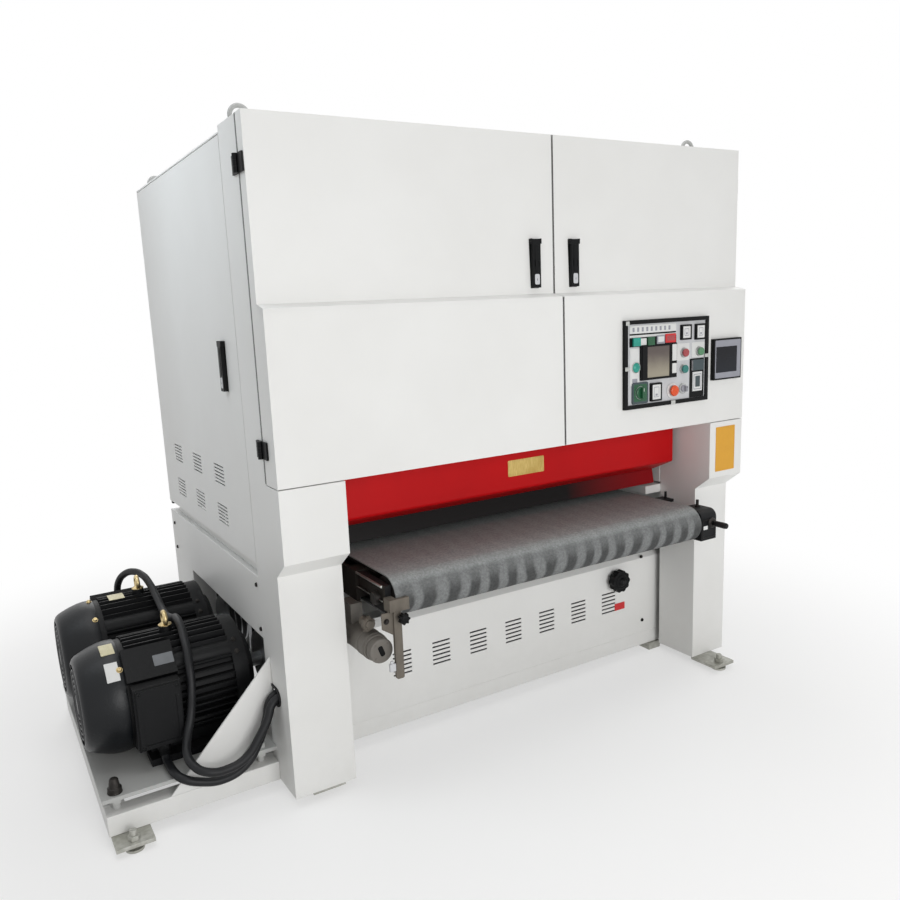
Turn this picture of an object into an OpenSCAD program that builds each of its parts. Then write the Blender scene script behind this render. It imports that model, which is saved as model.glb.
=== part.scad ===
/* [Cabinet] */
// How much wider the cabinet is than the feed belt
side_w = 610; // [590:5:640]
// Height of the front doors and columns above the floor
body_h = 2004; // [1980:2:2100]
// Distance of the back panel behind the second sanding head
rear_d = 450; // [430:5:500]
// Thickness of doors, columns and cover sheets
sheet_t = 4; // [3:0.5:5]
// Gap round the doors
seam = 3; // [2:0.5:4]
// Depth of the front doors behind their upper faces
door_t = 48; // [44:1:56]
// How far the lower door faces stand out from the upper ones
bulge = 47; // [40:1:55]
// Height of the middle of the sloped ledge on the front doors
ledge_z = 1495; // [1470:5:1505]
// Rise of the sloped ledge
ledge_h = 30; // [20:1:40]
// Height of the lower edge of the front doors
door_z = 1008; // [1000:1:1020]
// Distance of the split between the front doors from mid width
door_split = 65; // [40:5:90]
// How much lower the roof lies than the front doors
roof_drop = 15; // [8:1:20]
// Thickness of the roof plate
roof_t = 6; // [4:1:8]
// Depth of the side doors
side_door_t = 38; // [34:1:42]

/* [Columns] */
// Width of the left column
col_l_w = 203; // [195:1:210]
// Width of the right column
col_r_w = 178; // [170:1:185]
// Distance of the back edges of the columns behind the upper door faces
col_back = 205; // [200:1:220]
// Height of the lower end of the columns' forward part
step_z = 789; // [770:1:810]
// Height of the sloped step below it
step_h = 51; // [40:1:60]
// How far the legs stand behind the forward part
leg_setback = 68; // [60:1:76]
// Height of the lower end of the legs above the floor
leg_z = 30; // [26:1:36]

/* [Base] */
// Height of the top of the base
base_z = 696; // [690:1:700]
// Height of the groove between the base and the side doors
groove_h = 33; // [30:1:36]
// Depth of that groove
groove_d = 20; // [15:1:24]
// Width of the base sills
sill_w = 60; // [50:1:70]
// Height of the base sills
sill_h = 58; // [50:1:62]
// Height of the lower edge of the cover over the motor bay
bay_z = 490; // [480:1:505]
// Distance of the motor bay's rear end behind the second motor's axis
bay_margin = 170; // [160:5:190]
// Distance of the lower front panel behind the upper door faces
panel_y = 236; // [230:1:245]
// Height of the top of the lower front panel
panel_z = 440; // [425:1:450]
// Width of one ventilation slot in the lower front panel
slot_w = 74; // [60:1:90]
// Height of one ventilation slot
slot_h = 6; // [4:0.5:8]
// Distance between ventilation slots
slot_pitch = 16; // [14:0.5:18]

/* [Feet] */
// Width of a foot plate
foot_w = 108; // [95:1:120]
// Length of a foot plate
foot_d = 123; // [115:1:135]
// Thickness of a foot plate
foot_t = 12; // [8:1:14]
// Radius of a levelling screw
level_r = 10; // [8:0.5:12]
// Radius of a floor pad
pad_r = 27; // [22:1:32]

/* [Conveyor] */
// Width of the feed belt
belt_w = 1290; // [1260:10:1300]
// Thickness of the feed belt
belt_t = 5; // [4:0.5:6]
// Height of the top of the feed belt above the floor
belt_z = 705; // [700:1:710]
// Radius of the conveyor rollers
roller_r = 60; // [54:1:62]
// Distance of the front roller's axis in front of the upper door faces
feed_front = 60; // [50:1:70]
// Distance of the rear roller's axis behind the back panel
feed_back = 60; // [50:1:80]
// How far the conveyor can be lowered
table_down = 110; // [90:5:112]
// Radius of the lift screws
lift_r = 18; // [15:0.5:20]
// Height of the lift jacks
jack_h = 212; // [200:1:230]

/* [Sanding heads] */
// Gap between the feed belt and the abrasive belts
pass_h = 30; // [26:1:34]
// Distance of the first head behind the front columns
head_in = 245; // [235:5:265]
// Distance between the two heads
head_gap = 440; // [430:5:460]
// Radius of the contact drums
drum_r = 120; // [105:1:125]
// Radius of the tension rollers
tension_r = 70; // [60:1:80]
// Distance of the tension rollers' axes below the roof
head_drop = 332.2; // [310.2:2:350.2]
// How much wider drums and abrasive belts are than the feed belt
drum_extra = 30; // [20:2:36]
// Thickness of the abrasive belts
abrasive_t = 1.5; // [1:0.1:2]
// Radius of the pressure rollers
press_r = 35; // [30:1:40]

/* [Motors] */
// Radius of a motor over its fins
motor_r = 180; // [170:1:184]
// Radius of a motor's core between the fins
core_r = 158; // [150:1:162]
// Number of cooling fins on each of a motor's four sides
fin_count = 9; // [7:2:11]
// Thickness of a cooling fin
fin_t = 5; // [4:0.5:6]
// Length of a motor's finned frame
motor_l = 400; // [380:5:410]
// Length of a fan cowl
cowl_l = 112; // [105:1:130]
// Radius of the motor shafts
shaft_r = 24; // [20:1:27]
// Height of the top of the motor plate
plate_z = 140; // [136:1:146]
// Thickness of the motor plate
plate_t = 12; // [10:1:16]
// Radius of the motor pulleys over their rims
pulley_r = 95; // [88:1:100]
// Width of the pulleys
pulley_w = 70; // [64:1:76]
// Distance of the motor bed's end from the cabinet
bed_out = 517; // [505:1:530]

/* [Hidden] */

// Fits and clearances
fit = 0.05;
touch = 0.2;
clear = 0.4;
$fn = 64;

// Colours
enamel = "#e6e6e4";
grey_enamel = "#c9cac8";
guard_red = "#b5151b";
black = "#17191b";
steel = "#8d8f90";
zinc = "#c2c4c0";
belt_grey = "#5a5a5c";
rubber = "#2a2a2c";
abrasive = "#6b3b24";

// Main planes
body_w = belt_w + side_w;
head_1_y = col_back + head_in;
head_2_y = head_1_y + head_gap;
body_d = head_2_y + rear_d;
left_x = -body_w / 2;
right_x = body_w / 2;
roof_z = body_h - roof_drop;
leg_y = leg_setback - bulge;
col_l_in = left_x + col_l_w;
col_r_in = right_x - col_r_w;
side_door_z = base_z + groove_h;
rear_col_y = body_d - 80;
rail_in = belt_w / 2 + 45;
rail_w = 120;
main_plate_x = col_l_in + 2;
main_plate_t = 25;

// Conveyor planes
side_plate_x = belt_w / 2 + 23;
side_plate_t = 12;
roller_z = belt_z - belt_t - roller_r;
roller_shaft_r = 20;
roller_end = belt_w / 2 + 45;
front_roller_y = -feed_front;
rear_roller_y = body_d + feed_back;
belt_gap = 0.3;
beam_y = front_roller_y + roller_r + 75;
block_d = 85;
block_front = front_roller_y - 40;
lift_x = side_plate_x + side_plate_t + 32;
lift_ys = [380, body_d - 220];
lug_z = belt_z - 105;
lug_h = 40;

// Sanding head planes
sand_z = belt_z + pass_h;
drum_z = sand_z + abrasive_t + belt_gap + drum_r;
drum_w = belt_w + drum_extra;
top_roller_z = roof_z - head_drop;
head_h = top_roller_z - drum_z;
drum_shaft_r = 30;
head_ys = [head_1_y, head_2_y];
press_ys = [head_1_y - drum_r - 60, head_2_y + drum_r + 60];
press_shaft_r = 12;
press_z = sand_z + press_r;

// Drive planes
motor_z = plate_z + motor_r + 2;
hub_l = 30;
frame_x0 = left_x - motor_l - hub_l;
frame_x1 = frame_x0 + motor_l;
motor_end = frame_x0 - cowl_l;
pulley_x = left_x + side_door_t + 20;
groove_r = pulley_r - 14;
vbelt_w = 15;
vbelt_pitch = 21;
bed_front = 155;
bed_back = head_2_y + motor_r + 25;
beam_z = 92;

// Front door hinges
hinge_off = 9;
hinge_y = door_t - seam / 2;
hinge_zs = [door_z + 76, body_h - 152];
hinge_h = 50;
knuckle_r = 8;
hinge_pin_r = 4;

// Side door pivots
pivot_in = 12;
pivot_r = 6;
pivot_y = body_d - seam - pivot_in;

// Handles
handle_off = 80;
handle_w = 32;
handle_z = ledge_z + 35;
handle_l = 0.3 * (body_h - ledge_z);
handle_t = 14;
handle_pin_r = 3;
side_handle_y = 343;
side_handle_z = 1257;

// Control panel
panel_x0 = right_x - 628;
panel_w = 416;
panel_bottom = door_z + 92;
panel_h = 308;
panel_lip = 14;
screen_x0 = right_x - 185;
screen_w = 151;
screen_bottom = door_z + 160;
screen_h = 153;
face_y = -bulge;
panel_face = face_y - 8;
button_travel = 4;

// Speed handwheel
wheel_x = right_x - 405;
wheel_z = panel_z - 83;
wheel_r = 44;
wheel_shaft_r = 9;

// The origin lies on the floor under the middle of the whole machine
hinge_out = hinge_off + knuckle_r;
handle_reach = 70;
front_y = block_front - 15 - handle_reach;
back_y = rear_roller_y + roller_r + belt_t;
origin = [(motor_end + right_x + hinge_out) / 2, (front_y + back_y) / 2, 0];

// Routes of the two motor cables, from the terminal boxes into the left leg
cable_r = 13;
cable_1 = [
    [-1270, 268, 191.5], [-1270, 268, 178], [-1270, 252, 162], [-1269, 212, 157], [-1266, 168, 155],
    [-1252, 136, 140], [-1205, 118, 116], [-1130, 112, 104], [-1065, 118, 132], [-1020, 124, 192],
    [-988, 127, 262], [-970, 133, 314], [-942, 138, 331], [-905, 138, 333]
];
cable_2 = [
    [-1240, 1072, 430.5], [-1240, 1072, 460], [-1218, 1050, 502], [-1182, 985, 524], [-1156, 890, 522],
    [-1150, 790, 500], [-1150, 670, 476], [-1150, 560, 494], [-1152, 460, 522], [-1158, 360, 500],
    [-1166, 285, 440], [-1174, 252, 366], [-1188, 236, 290], [-1212, 205, 236], [-1228, 160, 198],
    [-1224, 122, 168], [-1190, 84, 142], [-1125, 80, 134], [-1065, 84, 160], [-1025, 92, 216],
    [-992, 98, 276], [-972, 105, 316], [-942, 110, 331], [-905, 110, 334]
];

module place() translate(-origin) children();

module box(x0, x1, y0, y1, z0, z1) translate([x0, y0, z0]) cube([x1 - x0, y1 - y0, z1 - z0]);

module prism_x(x0, x1, points) {
    translate([x0, 0, 0]) rotate([90, 0, 90]) linear_extrude(x1 - x0) polygon(points);
}

module prism_y(y0, y1, points) {
    translate([0, y1, 0]) rotate([90, 0, 0]) linear_extrude(y1 - y0) polygon(points);
}

module rod_x(x0, x1, y, z, r) translate([x0, y, z]) rotate([0, 90, 0]) cylinder(h = x1 - x0, r = r);

module rod_y(x, y0, y1, z, r) translate([x, y0, z]) rotate([-90, 0, 0]) cylinder(h = y1 - y0, r = r);

module rod_z(x, y, z0, z1, r) translate([x, y, z0]) cylinder(h = z1 - z0, r = r);

// Outline of a belt round two wheels, the second straight above the first
module loop_outline(r1, r2, span) {
    lean = asin((r1 - r2) / span);
    circle(r1);
    translate([0, span]) circle(r2);
    polygon([
        [r1 * cos(lean), r1 * sin(lean)], [r2 * cos(lean), span + r2 * sin(lean)],
        [-r2 * cos(lean), span + r2 * sin(lean)], [-r1 * cos(lean), r1 * sin(lean)]
    ]);
}

module loop_belt(x0, x1, y, z, r1, r2, span, t) {
    translate([x0, y, z]) rotate([90, 0, 90]) linear_extrude(x1 - x0) difference() {
        loop_outline(r1 + t, r2 + t, span);
        loop_outline(r1, r2, span);
    }
}

// A row of ventilation slots centred on the local origin, cut along local Z
module slots(count, width, height, pitch) {
    for (i = [0 : count - 1]) {
        translate([-width / 2, (i - (count - 1) / 2) * pitch - height / 2, -2 * sheet_t])
            cube([width, height, 4 * sheet_t]);
    }
}

// Tube swept along a route
function unit(v) = v / norm(v);
function route_dir(p, i) = unit(p[min(i + 1, len(p) - 1)] - p[max(i - 1, 0)]);
function side_dir(d) = unit(cross(d, abs(d.x) > 0.9 ? [0, 1, 0] : [1, 0, 0]));
function ring_point(p, i, a, r) =
    let (d = route_dir(p, i), u = side_dir(d), w = cross(d, u))
    p[i] + r * (cos(a) * u + sin(a) * w);

module tube(route, r, sides = 10) {
    last = len(route) - 1;
    points = [for (i = [0 : last]) for (k = [0 : sides - 1]) ring_point(route, i, 360 * k / sides, r)];
    walls = [for (i = [0 : last - 1]) for (k = [0 : sides - 1]) let (n = (k + 1) % sides)
        each [
            [i * sides + k, (i + 1) * sides + k, i * sides + n],
            [i * sides + n, (i + 1) * sides + k, (i + 1) * sides + n]
        ]];
    polyhedron(points, concat(
        walls,
        [[for (k = [0 : sides - 1]) k]],
        [[for (k = [sides - 1 : -1 : 0]) last * sides + k]]
    ));
}

// Base: sills, cross beams, rear legs, top rails and cover sheets
module base_frame() {
    sill_top = leg_z + sill_h;
    bay_back = head_2_y + bay_margin;
    rail_top = base_z - sheet_t;
    rail_low = rail_top - 50;
    rail_d = 36;
    leg_w = 80;
    beam_half = 40;
    color(enamel) place() {
        box(left_x + sill_w + touch, right_x - sill_w - touch, panel_y, panel_y + sill_w, leg_z, sill_top);
        box(left_x, left_x + sill_w, col_back + touch, bay_back - touch, leg_z, sill_top);
        box(right_x - sill_w, right_x, col_back + touch, rear_col_y - touch, leg_z, sill_top);
        box(left_x, left_x + leg_w, bay_back, body_d, leg_z, rail_top);
        box(right_x - leg_w, right_x, rear_col_y, body_d, leg_z, rail_top);
        box(left_x + leg_w + touch, right_x - leg_w - touch, body_d - sill_w, body_d, leg_z, sill_top);
        for (y = lift_ys) {
            side = y + beam_half > bay_back ? leg_w : sill_w;
            box(
                left_x + side + touch, right_x - sill_w - touch, y - beam_half, y + beam_half,
                leg_z, sill_top
            );
        }
        box(
            left_x + sheet_t + touch, left_x + rail_d, col_back + touch, bay_back - touch,
            rail_low, rail_top
        );
        box(
            right_x - rail_d, right_x - sheet_t - touch, col_back + touch, rear_col_y - touch,
            rail_low, rail_top
        );
        box(left_x, left_x + sheet_t, col_back + touch, bay_back - touch, bay_z, rail_top);
        box(right_x - sheet_t, right_x, col_back + touch, rear_col_y - touch, sill_top + touch, rail_top);
        box(
            left_x + leg_w + touch, right_x - leg_w - touch,
            body_d - sill_w / 2, body_d - sill_w / 2 + sheet_t, sill_top + touch, panel_z
        );
    }
}

// Side outline of a front column; a positive inset gives the hollow inside, open to the back
function column_outline(inset) = let (back = inset > 0 ? col_back + 1 : col_back) [
    [back, leg_z + inset], [back, body_h - inset], [door_t + inset, body_h - inset],
    [door_t + inset, door_z - seam - inset], [-bulge + inset, door_z - seam - inset],
    [-bulge + inset, step_z + inset / 2], [leg_y + inset, step_z - step_h + inset / 2],
    [leg_y + inset, leg_z + inset]
];

module column(x0, x1) {
    difference() {
        prism_x(x0, x1, column_outline(0));
        prism_x(x0 + sheet_t, x1 - sheet_t, column_outline(sheet_t));
    }
}

module left_column() {
    hole_r = 25;
    hole_z = 330;
    hole_ys = [leg_y + 92, leg_y + 130];
    color(enamel) place() difference() {
        column(left_x, col_l_in);
        for (y = hole_ys) rod_x(left_x - 1, left_x + sheet_t + 1, y, hole_z, hole_r);
        box(left_x - 1, left_x + sheet_t + 1, hole_ys[0], hole_ys[1], hole_z - hole_r, hole_z + hole_r);
    }
}

module right_column() {
    color(enamel) place() column(col_r_in, right_x);
}

// Cabinet: side rails, rear columns, main plate for the heads, roof and front header
module cabinet_frame() {
    under_roof = roof_z - roof_t - touch;
    color(enamel) place() {
        for (s = [-1, 1]) {
            rail_0 = s < 0 ? -rail_in - rail_w : rail_in;
            box(rail_0, rail_0 + rail_w, col_back + touch, rear_col_y - touch, base_z, side_door_z);
            col_0 = s < 0 ? left_x + side_door_t + 6 : rail_in;
            col_1 = s < 0 ? -rail_in : right_x - side_door_t - 6;
            box(col_0, col_1, rear_col_y, body_d, base_z, under_roof);
            groove_0 = s < 0 ? left_x + groove_d : right_x - groove_d - sheet_t;
            box(
                groove_0, groove_0 + sheet_t, col_back + touch, rear_col_y - touch,
                base_z - sheet_t + touch, side_door_z
            );
        }
        difference() {
            box(
                main_plate_x, main_plate_x + main_plate_t, col_back + 55, rear_col_y - touch,
                side_door_z + touch, top_roller_z + 200
            );
            for (y = head_ys) {
                rod_x(main_plate_x - 1, main_plate_x + main_plate_t + 1, y, drum_z, drum_shaft_r + 10);
            }
        }
        box(left_x, right_x, col_back + touch, body_d, roof_z - roof_t, roof_z);
        box(col_l_in + touch, col_r_in - touch, door_t, col_back, roof_z - roof_t, roof_z);
        box(col_l_in + touch, col_r_in - touch, door_t + 12, door_t + 52, under_roof - 52, under_roof);
    }
}

// Back panel with two dust outlets
outlet_r = 75;
outlet_l = 80;
outlet_x = rail_in - 390;
outlet_z = 1500;
module rear_panel() {
    color(enamel) place() difference() {
        union() {
            box(
                -rail_in + touch, rail_in - touch, body_d - sheet_t, body_d,
                sand_z + 40, roof_z - roof_t - touch
            );
            for (s = [-1, 1]) rod_y(s * outlet_x, body_d - sheet_t, body_d + outlet_l, outlet_z, outlet_r);
        }
        for (s = [-1, 1]) {
            rod_y(s * outlet_x, body_d - 2 * sheet_t, body_d + outlet_l + 1, outlet_z, outlet_r - sheet_t);
        }
    }
}

// Bed for the motors with its diagonal gussets
module motor_bed() {
    bed_x = left_x - bed_out;
    gusset = [
        [left_x - touch, bay_z - 45], [left_x - 0.65 * bed_out, beam_z + touch],
        [left_x - 0.33 * bed_out, beam_z + touch], [left_x - touch, plate_z + 130]
    ];
    color(enamel) place() {
        box(bed_x, left_x - touch, bed_front, bed_front + sill_w, leg_z, beam_z);
        box(bed_x, left_x - touch, bed_back - sill_w, bed_back, leg_z, beam_z);
        for (x = [bed_x, left_x - touch - sill_w]) {
            box(x, x + sill_w, bed_front + sill_w + touch, bed_back - sill_w - touch, leg_z, beam_z);
        }
        prism_y(bed_front, bed_front + 8, gusset);
        prism_y(bed_back - 8, bed_back, gusset);
    }
}

stud_r = 12;
stud_nut_h = 16;
stud_points = [
    for (x = [left_x - bed_out + 35, left_x - 45]) for (y = [bed_front + 42, bed_back - 42]) [x, y]
];

// Motor plate held on adjusting studs
module motor_plate() {
    color(grey_enamel) place() {
        difference() {
            box(
                left_x - bed_out - 6, left_x - touch, bed_front + 12, bed_back - 12,
                plate_z - plate_t, plate_z
            );
            for (p = stud_points) rod_z(p.x, p.y, plate_z - plate_t - 1, plate_z + 1, stud_r + touch);
        }
        for (p = stud_points) {
            rod_z(p.x, p.y, beam_z + touch, plate_z + 40, stud_r);
            for (z = [plate_z + touch, plate_z - plate_t - stud_nut_h - touch]) {
                translate([p.x, p.y, z]) cylinder(h = stud_nut_h, r = 20, $fn = 6);
            }
        }
    }
}

// Lower front panel with its groups of slots and sloped top flange
module louvre_panel() {
    flange = 24;
    group_pitch = 0.106 * (col_r_in - col_l_in);
    first_group = col_l_in + 1.845 * group_pitch;
    group_z = 260;
    behind = 60;
    outline = [
        [panel_y, leg_z + sill_h + touch], [panel_y, panel_z - flange], [panel_y + flange, panel_z],
        [panel_y + flange + sheet_t, panel_z], [panel_y + sheet_t, panel_z - flange - sheet_t / 2],
        [panel_y + sheet_t, leg_z + sill_h + touch]
    ];
    color(enamel) place() difference() {
        prism_x(col_l_in - behind, col_r_in + behind, outline);
        for (i = [0 : 6]) {
            translate([first_group + i * group_pitch, panel_y, group_z]) rotate([90, 0, 0])
                slots(6, slot_w, slot_h, slot_pitch);
        }
        rod_y(wheel_x, panel_y - 1, panel_y + sheet_t + 1, wheel_z, wheel_shaft_r + 5);
    }
}

// A foot plate with its levelling screw; dir points to the side the screw stands on
module foot(x, y, dir) {
    top = leg_z - touch;
    screw_y = y + dir * foot_d * 0.27;
    difference() {
        box(x - foot_w / 2, x + foot_w / 2, y - foot_d / 2, y + foot_d / 2, top - foot_t, top);
        rod_z(x, screw_y, top - foot_t - 1, top + 1, level_r + touch);
    }
    rod_z(x, screw_y, 0, 8, pad_r);
    rod_z(x, screw_y, 8 + touch, top + 30, level_r);
    translate([x, screw_y, top + touch]) difference() {
        cylinder(h = 14, r = 1.8 * level_r, $fn = 6);
        translate([0, 0, -1]) cylinder(h = 16, r = level_r + touch);
    }
}

// A foot that lies wholly under a leg on a short screw
module foot_under(x, y) {
    top = leg_z - touch;
    pad_h = 6;
    box(x - foot_w / 2, x + foot_w / 2, y - foot_d / 2, y + foot_d / 2, top - foot_t, top);
    rod_z(x, y, 0, pad_h, pad_r);
    rod_z(x, y, pad_h + touch, top - foot_t - touch, level_r);
}

// A steel block that carries an end of the front sill
module sill_block(x) {
    box(x, x + 65, panel_y - 11, panel_y + sill_w, 0, leg_z - touch);
}

module levelling_feet() {
    front = leg_y - foot_d / 2 + 10;
    rear = body_d + foot_d / 2 - 10;
    bed_x = left_x - bed_out + foot_w / 2 + 6;
    color(steel) place() {
        foot_under(left_x + 115, leg_y + foot_d / 2 + 8);
        sill_block(col_r_in - 37);
        sill_block(col_l_in - 28);
        foot(right_x - 120, front, -1);
        foot(left_x + 60, rear, 1);
        foot(right_x - 60, rear, 1);
        foot(bed_x, bed_front - foot_d / 2 + 50, -1);
        foot(bed_x, bed_back + foot_d / 2 - 50, 1);
    }
}

// Lifting eye on a round flange standing on a height z
module eye(x, y, z) {
    ring_r = 26;
    bar_r = 6.5;
    ring_z = 16;
    translate([x, y, z + touch]) {
        cylinder(h = 5, r = ring_r + 4);
        difference() {
            translate([0, 0, ring_z]) rotate([90, 0, 0])
                rotate_extrude() translate([ring_r, 0]) circle(bar_r);
            translate([-2 * ring_r, -2 * bar_r, -ring_r]) cube([4 * ring_r, 4 * bar_r, ring_r + 1]);
        }
    }
}

module lifting_eyes() {
    color(zinc) place() {
        eye(left_x + 45, door_t + 97, body_h);
        eye(right_x - 152, door_t + 62, body_h);
        eye(left_x + 60, body_d - 80, roof_z);
        eye(right_x - 60, body_d - 80, roof_z);
    }
}

// Infeed guard with a rolled nose, its inner lip and the outfeed lip
module infeed_guard() {
    nose_y = 115;
    nose_z = 890;
    nose_r = 70;
    tail = 30;
    guard_t = 3;
    top = door_z - seam;
    lip_y = press_ys[0] - press_r - 21;
    lip_z = sand_z + 2;
    rear_y = body_d - 12;
    lip = [
        [lip_y, lip_z], [lip_y + guard_t, lip_z], [lip_y + 12 + guard_t, lip_z + 62],
        [lip_y + 12 + guard_t, top], [lip_y + 12, top], [lip_y + 12, lip_z + 62]
    ];
    rear_lip = [
        [rear_y + guard_t, lip_z], [rear_y + 2 * guard_t, lip_z], [rear_y + 2 * guard_t, sand_z + 100],
        [rear_y + guard_t, sand_z + 100]
    ];
    color(guard_red) place() {
        translate([col_l_in + touch, 0, 0]) rotate([90, 0, 90])
            linear_extrude(col_r_in - col_l_in - 2 * touch) {
                translate([nose_y, nose_z]) square([guard_t, top - nose_z]);
                intersection() {
                    translate([nose_y + nose_r, nose_z]) difference() {
                        circle(nose_r);
                        circle(nose_r - guard_t);
                    }
                    translate([nose_y, nose_z - nose_r]) square(nose_r);
                }
                translate([nose_y + nose_r, nose_z - nose_r]) square([tail, guard_t]);
            }
        prism_x(col_l_in + touch, col_r_in - touch, lip);
        prism_x(-rail_in + touch, rail_in - touch, rear_lip);
    }
}

// Mounting board behind the front doors with rails, contactors, drives and ducts
module electrical_board() {
    board_y = col_back + 24;
    floor_z = door_z - seam + touch;
    high = roof_z - roof_t - 2 - floor_z;
    rail_x0 = col_l_in + 47;
    wide = col_r_in - 52 - rail_x0;
    rail_t = 8;
    rail_half = 18;
    face = board_y - rail_t - touch;
    contactors = 10;
    drives = 3;
    color(grey_enamel) place() {
        box(
            col_l_in + 6, col_r_in - 6, board_y, board_y + sheet_t,
            floor_z + sheet_t + touch, floor_z + high
        );
        box(col_l_in + touch, col_r_in - touch, door_t + 4, board_y + 28, floor_z, floor_z + sheet_t);
        for (k = [0 : 2]) {
            z = floor_z + (0.25 + 0.215 * k) * high;
            box(rail_x0, rail_x0 + wide, board_y - rail_t, board_y - touch, z - rail_half, z + rail_half);
            for (i = [0 : contactors - 1]) {
                x = rail_x0 + (0.028 + 0.05 * i) * wide;
                box(x, x + 0.038 * wide, face - 84, face, z - 0.043 * high, z + 0.043 * high);
            }
        }
        for (i = [0 : drives - 1]) {
            x = rail_x0 + (0.56 + 0.15 * i) * wide;
            z = floor_z + (i % 2 == 0 ? 0.25 : 0.465) * high;
            box(x, x + 0.112 * wide, face - 112, face, z - 0.06 * high, z + 0.08 * high);
        }
        for (k = [0 : 3]) {
            z = floor_z + (0.145 + 0.212 * k) * high;
            box(rail_x0, rail_x0 + wide, board_y - 60, board_y - touch, z - 0.02 * high, z + 0.02 * high);
        }
    }
}

// Front door hinges: side -1 is the left door, 1 the right one
module hinge_leaf(side) {
    x_out = side * (body_w / 2 + hinge_off);
    for (z = hinge_zs) {
        third = hinge_h / 3;
        x_face = side * body_w / 2;
        x_0 = min(x_face + side * touch, x_face + side * 6);
        box(x_0, x_0 + 6 - touch, hinge_y + 9, hinge_y + 42, z, z + hinge_h);
        for (k = [0, 2]) {
            rod_z(x_out, hinge_y, z + k * third, z + (k + 1) * third, knuckle_r);
            box(x_0, x_0 + 6 - touch, hinge_y, hinge_y + 10, z + k * third, z + (k + 1) * third);
        }
        rod_z(x_out, hinge_y, z, z + hinge_h, hinge_pin_r);
    }
}

module knuckles(side) {
    x_out = side * (body_w / 2 + hinge_off);
    for (z = hinge_zs) {
        third = hinge_h / 3;
        x_face = side * body_w / 2;
        x_0 = min(x_face + side * touch, x_face + side * 6);
        difference() {
            union() {
                rod_z(x_out, hinge_y, z + third + clear, z + 2 * third - clear, knuckle_r);
                box(x_0, x_0 + 6 - touch, hinge_y - 40, hinge_y, z + third + clear, z + 2 * third - clear);
                box(x_0, x_0 + 6 - touch, hinge_y - 42, hinge_y - 9, z, z + hinge_h);
            }
            rod_z(x_out, hinge_y, z, z + hinge_h, hinge_pin_r + fit);
        }
    }
}

// Lugs with pins that carry a side door at its rear edge
module pivot_lugs(side) {
    x_in = side * (body_w / 2 - side_door_t - 6);
    x_pin = side * (body_w / 2 - pivot_in);
    x_0 = min(x_in + side * touch, x_pin + side * 8);
    x_1 = max(x_in + side * touch, x_pin + side * 8);
    door_low = side_door_z + seam;
    door_top = roof_z - roof_t - seam;
    box(x_0, x_1, pivot_y - 10, pivot_y + 10, door_low - 14, door_low - clear);
    rod_z(x_pin, pivot_y, door_low - 14, door_low + 26, pivot_r);
    rod_z(x_pin, pivot_y, door_top - 26, roof_z - roof_t - touch, pivot_r);
}

module hinge_leaves() {
    color(black) place() {
        hinge_leaf(-1);
        hinge_leaf(1);
        pivot_lugs(-1);
        pivot_lugs(1);
    }
}

// Bearing blocks of drums and pressure rollers
module bearing_block(x0, x1, y, z, half, r) {
    difference() {
        union() {
            box(x0, x1, y - half, y + half, side_door_z + touch, z);
            rod_x(x0, x1, y, z, half);
        }
        rod_x(x0 - 1, x1 + 1, y, z, r + fit);
    }
}

module bearing_blocks() {
    left = main_plate_x + main_plate_t + touch;
    drum_half = drum_shaft_r + 25;
    press_half = press_shaft_r + 12;
    color(steel) place() {
        for (y = head_ys) {
            bearing_block(left, -drum_w / 2 - 8, y, drum_z, drum_half, drum_shaft_r);
            bearing_block(rail_in + 4, rail_in + 60, y, drum_z, drum_half, drum_shaft_r);
        }
        for (y = press_ys) {
            bearing_block(left, -drum_w / 2 - 12, y, press_z, press_half, press_shaft_r);
            bearing_block(rail_in + 2, rail_in + 28, y, press_z, press_half, press_shaft_r);
        }
    }
}

// Abrasive belts running round drum and tension roller
module sanding_belts() {
    color(abrasive) place() {
        for (y = head_ys) {
            loop_belt(
                -drum_w / 2, drum_w / 2, y, drum_z,
                drum_r + belt_gap, tension_r + belt_gap, head_h, abrasive_t
            );
        }
    }
}

// Head beams fixed to the main plate, with tension cylinder and yoke
module tension_yokes() {
    beam_low = drum_z + 0.35 * head_h;
    beam_top = drum_z + 0.525 * head_h;
    beam_half = 50;
    ear_x = drum_w / 2 + 4;
    ear_t = 18;
    tension_shaft_r = 20;
    yoke_z = top_roller_z - tension_r - 60;
    color(steel) place() {
        for (y = head_ys) {
            box(
                main_plate_x + main_plate_t + touch, ear_x + ear_t, y - beam_half, y + beam_half,
                beam_low, beam_top
            );
            rod_z(0, y, beam_top + touch, yoke_z - touch, 42);
            difference() {
                union() {
                    box(-ear_x - ear_t, ear_x + ear_t, y - 30, y + 30, yoke_z, yoke_z + 40);
                    for (s = [-1, 1]) {
                        box(
                            min(s * ear_x, s * (ear_x + ear_t)), max(s * ear_x, s * (ear_x + ear_t)),
                            y - 30, y + 30, yoke_z, top_roller_z + 30
                        );
                    }
                }
                rod_x(-ear_x - ear_t - 1, ear_x + ear_t + 1, y, top_roller_z, tension_shaft_r + fit);
            }
        }
    }
}

// Three V-belts per head from the motor pulley up to the drum pulley
module drive_belts() {
    color(rubber) place() {
        for (y = head_ys) {
            for (i = [-1, 0, 1]) {
                x = pulley_x + pulley_w / 2 + i * vbelt_pitch;
                loop_belt(
                    x - vbelt_w / 2, x + vbelt_w / 2, y, motor_z,
                    groove_r + belt_gap, groove_r + belt_gap, drum_z - motor_z, 11
                );
            }
        }
    }
}

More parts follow.
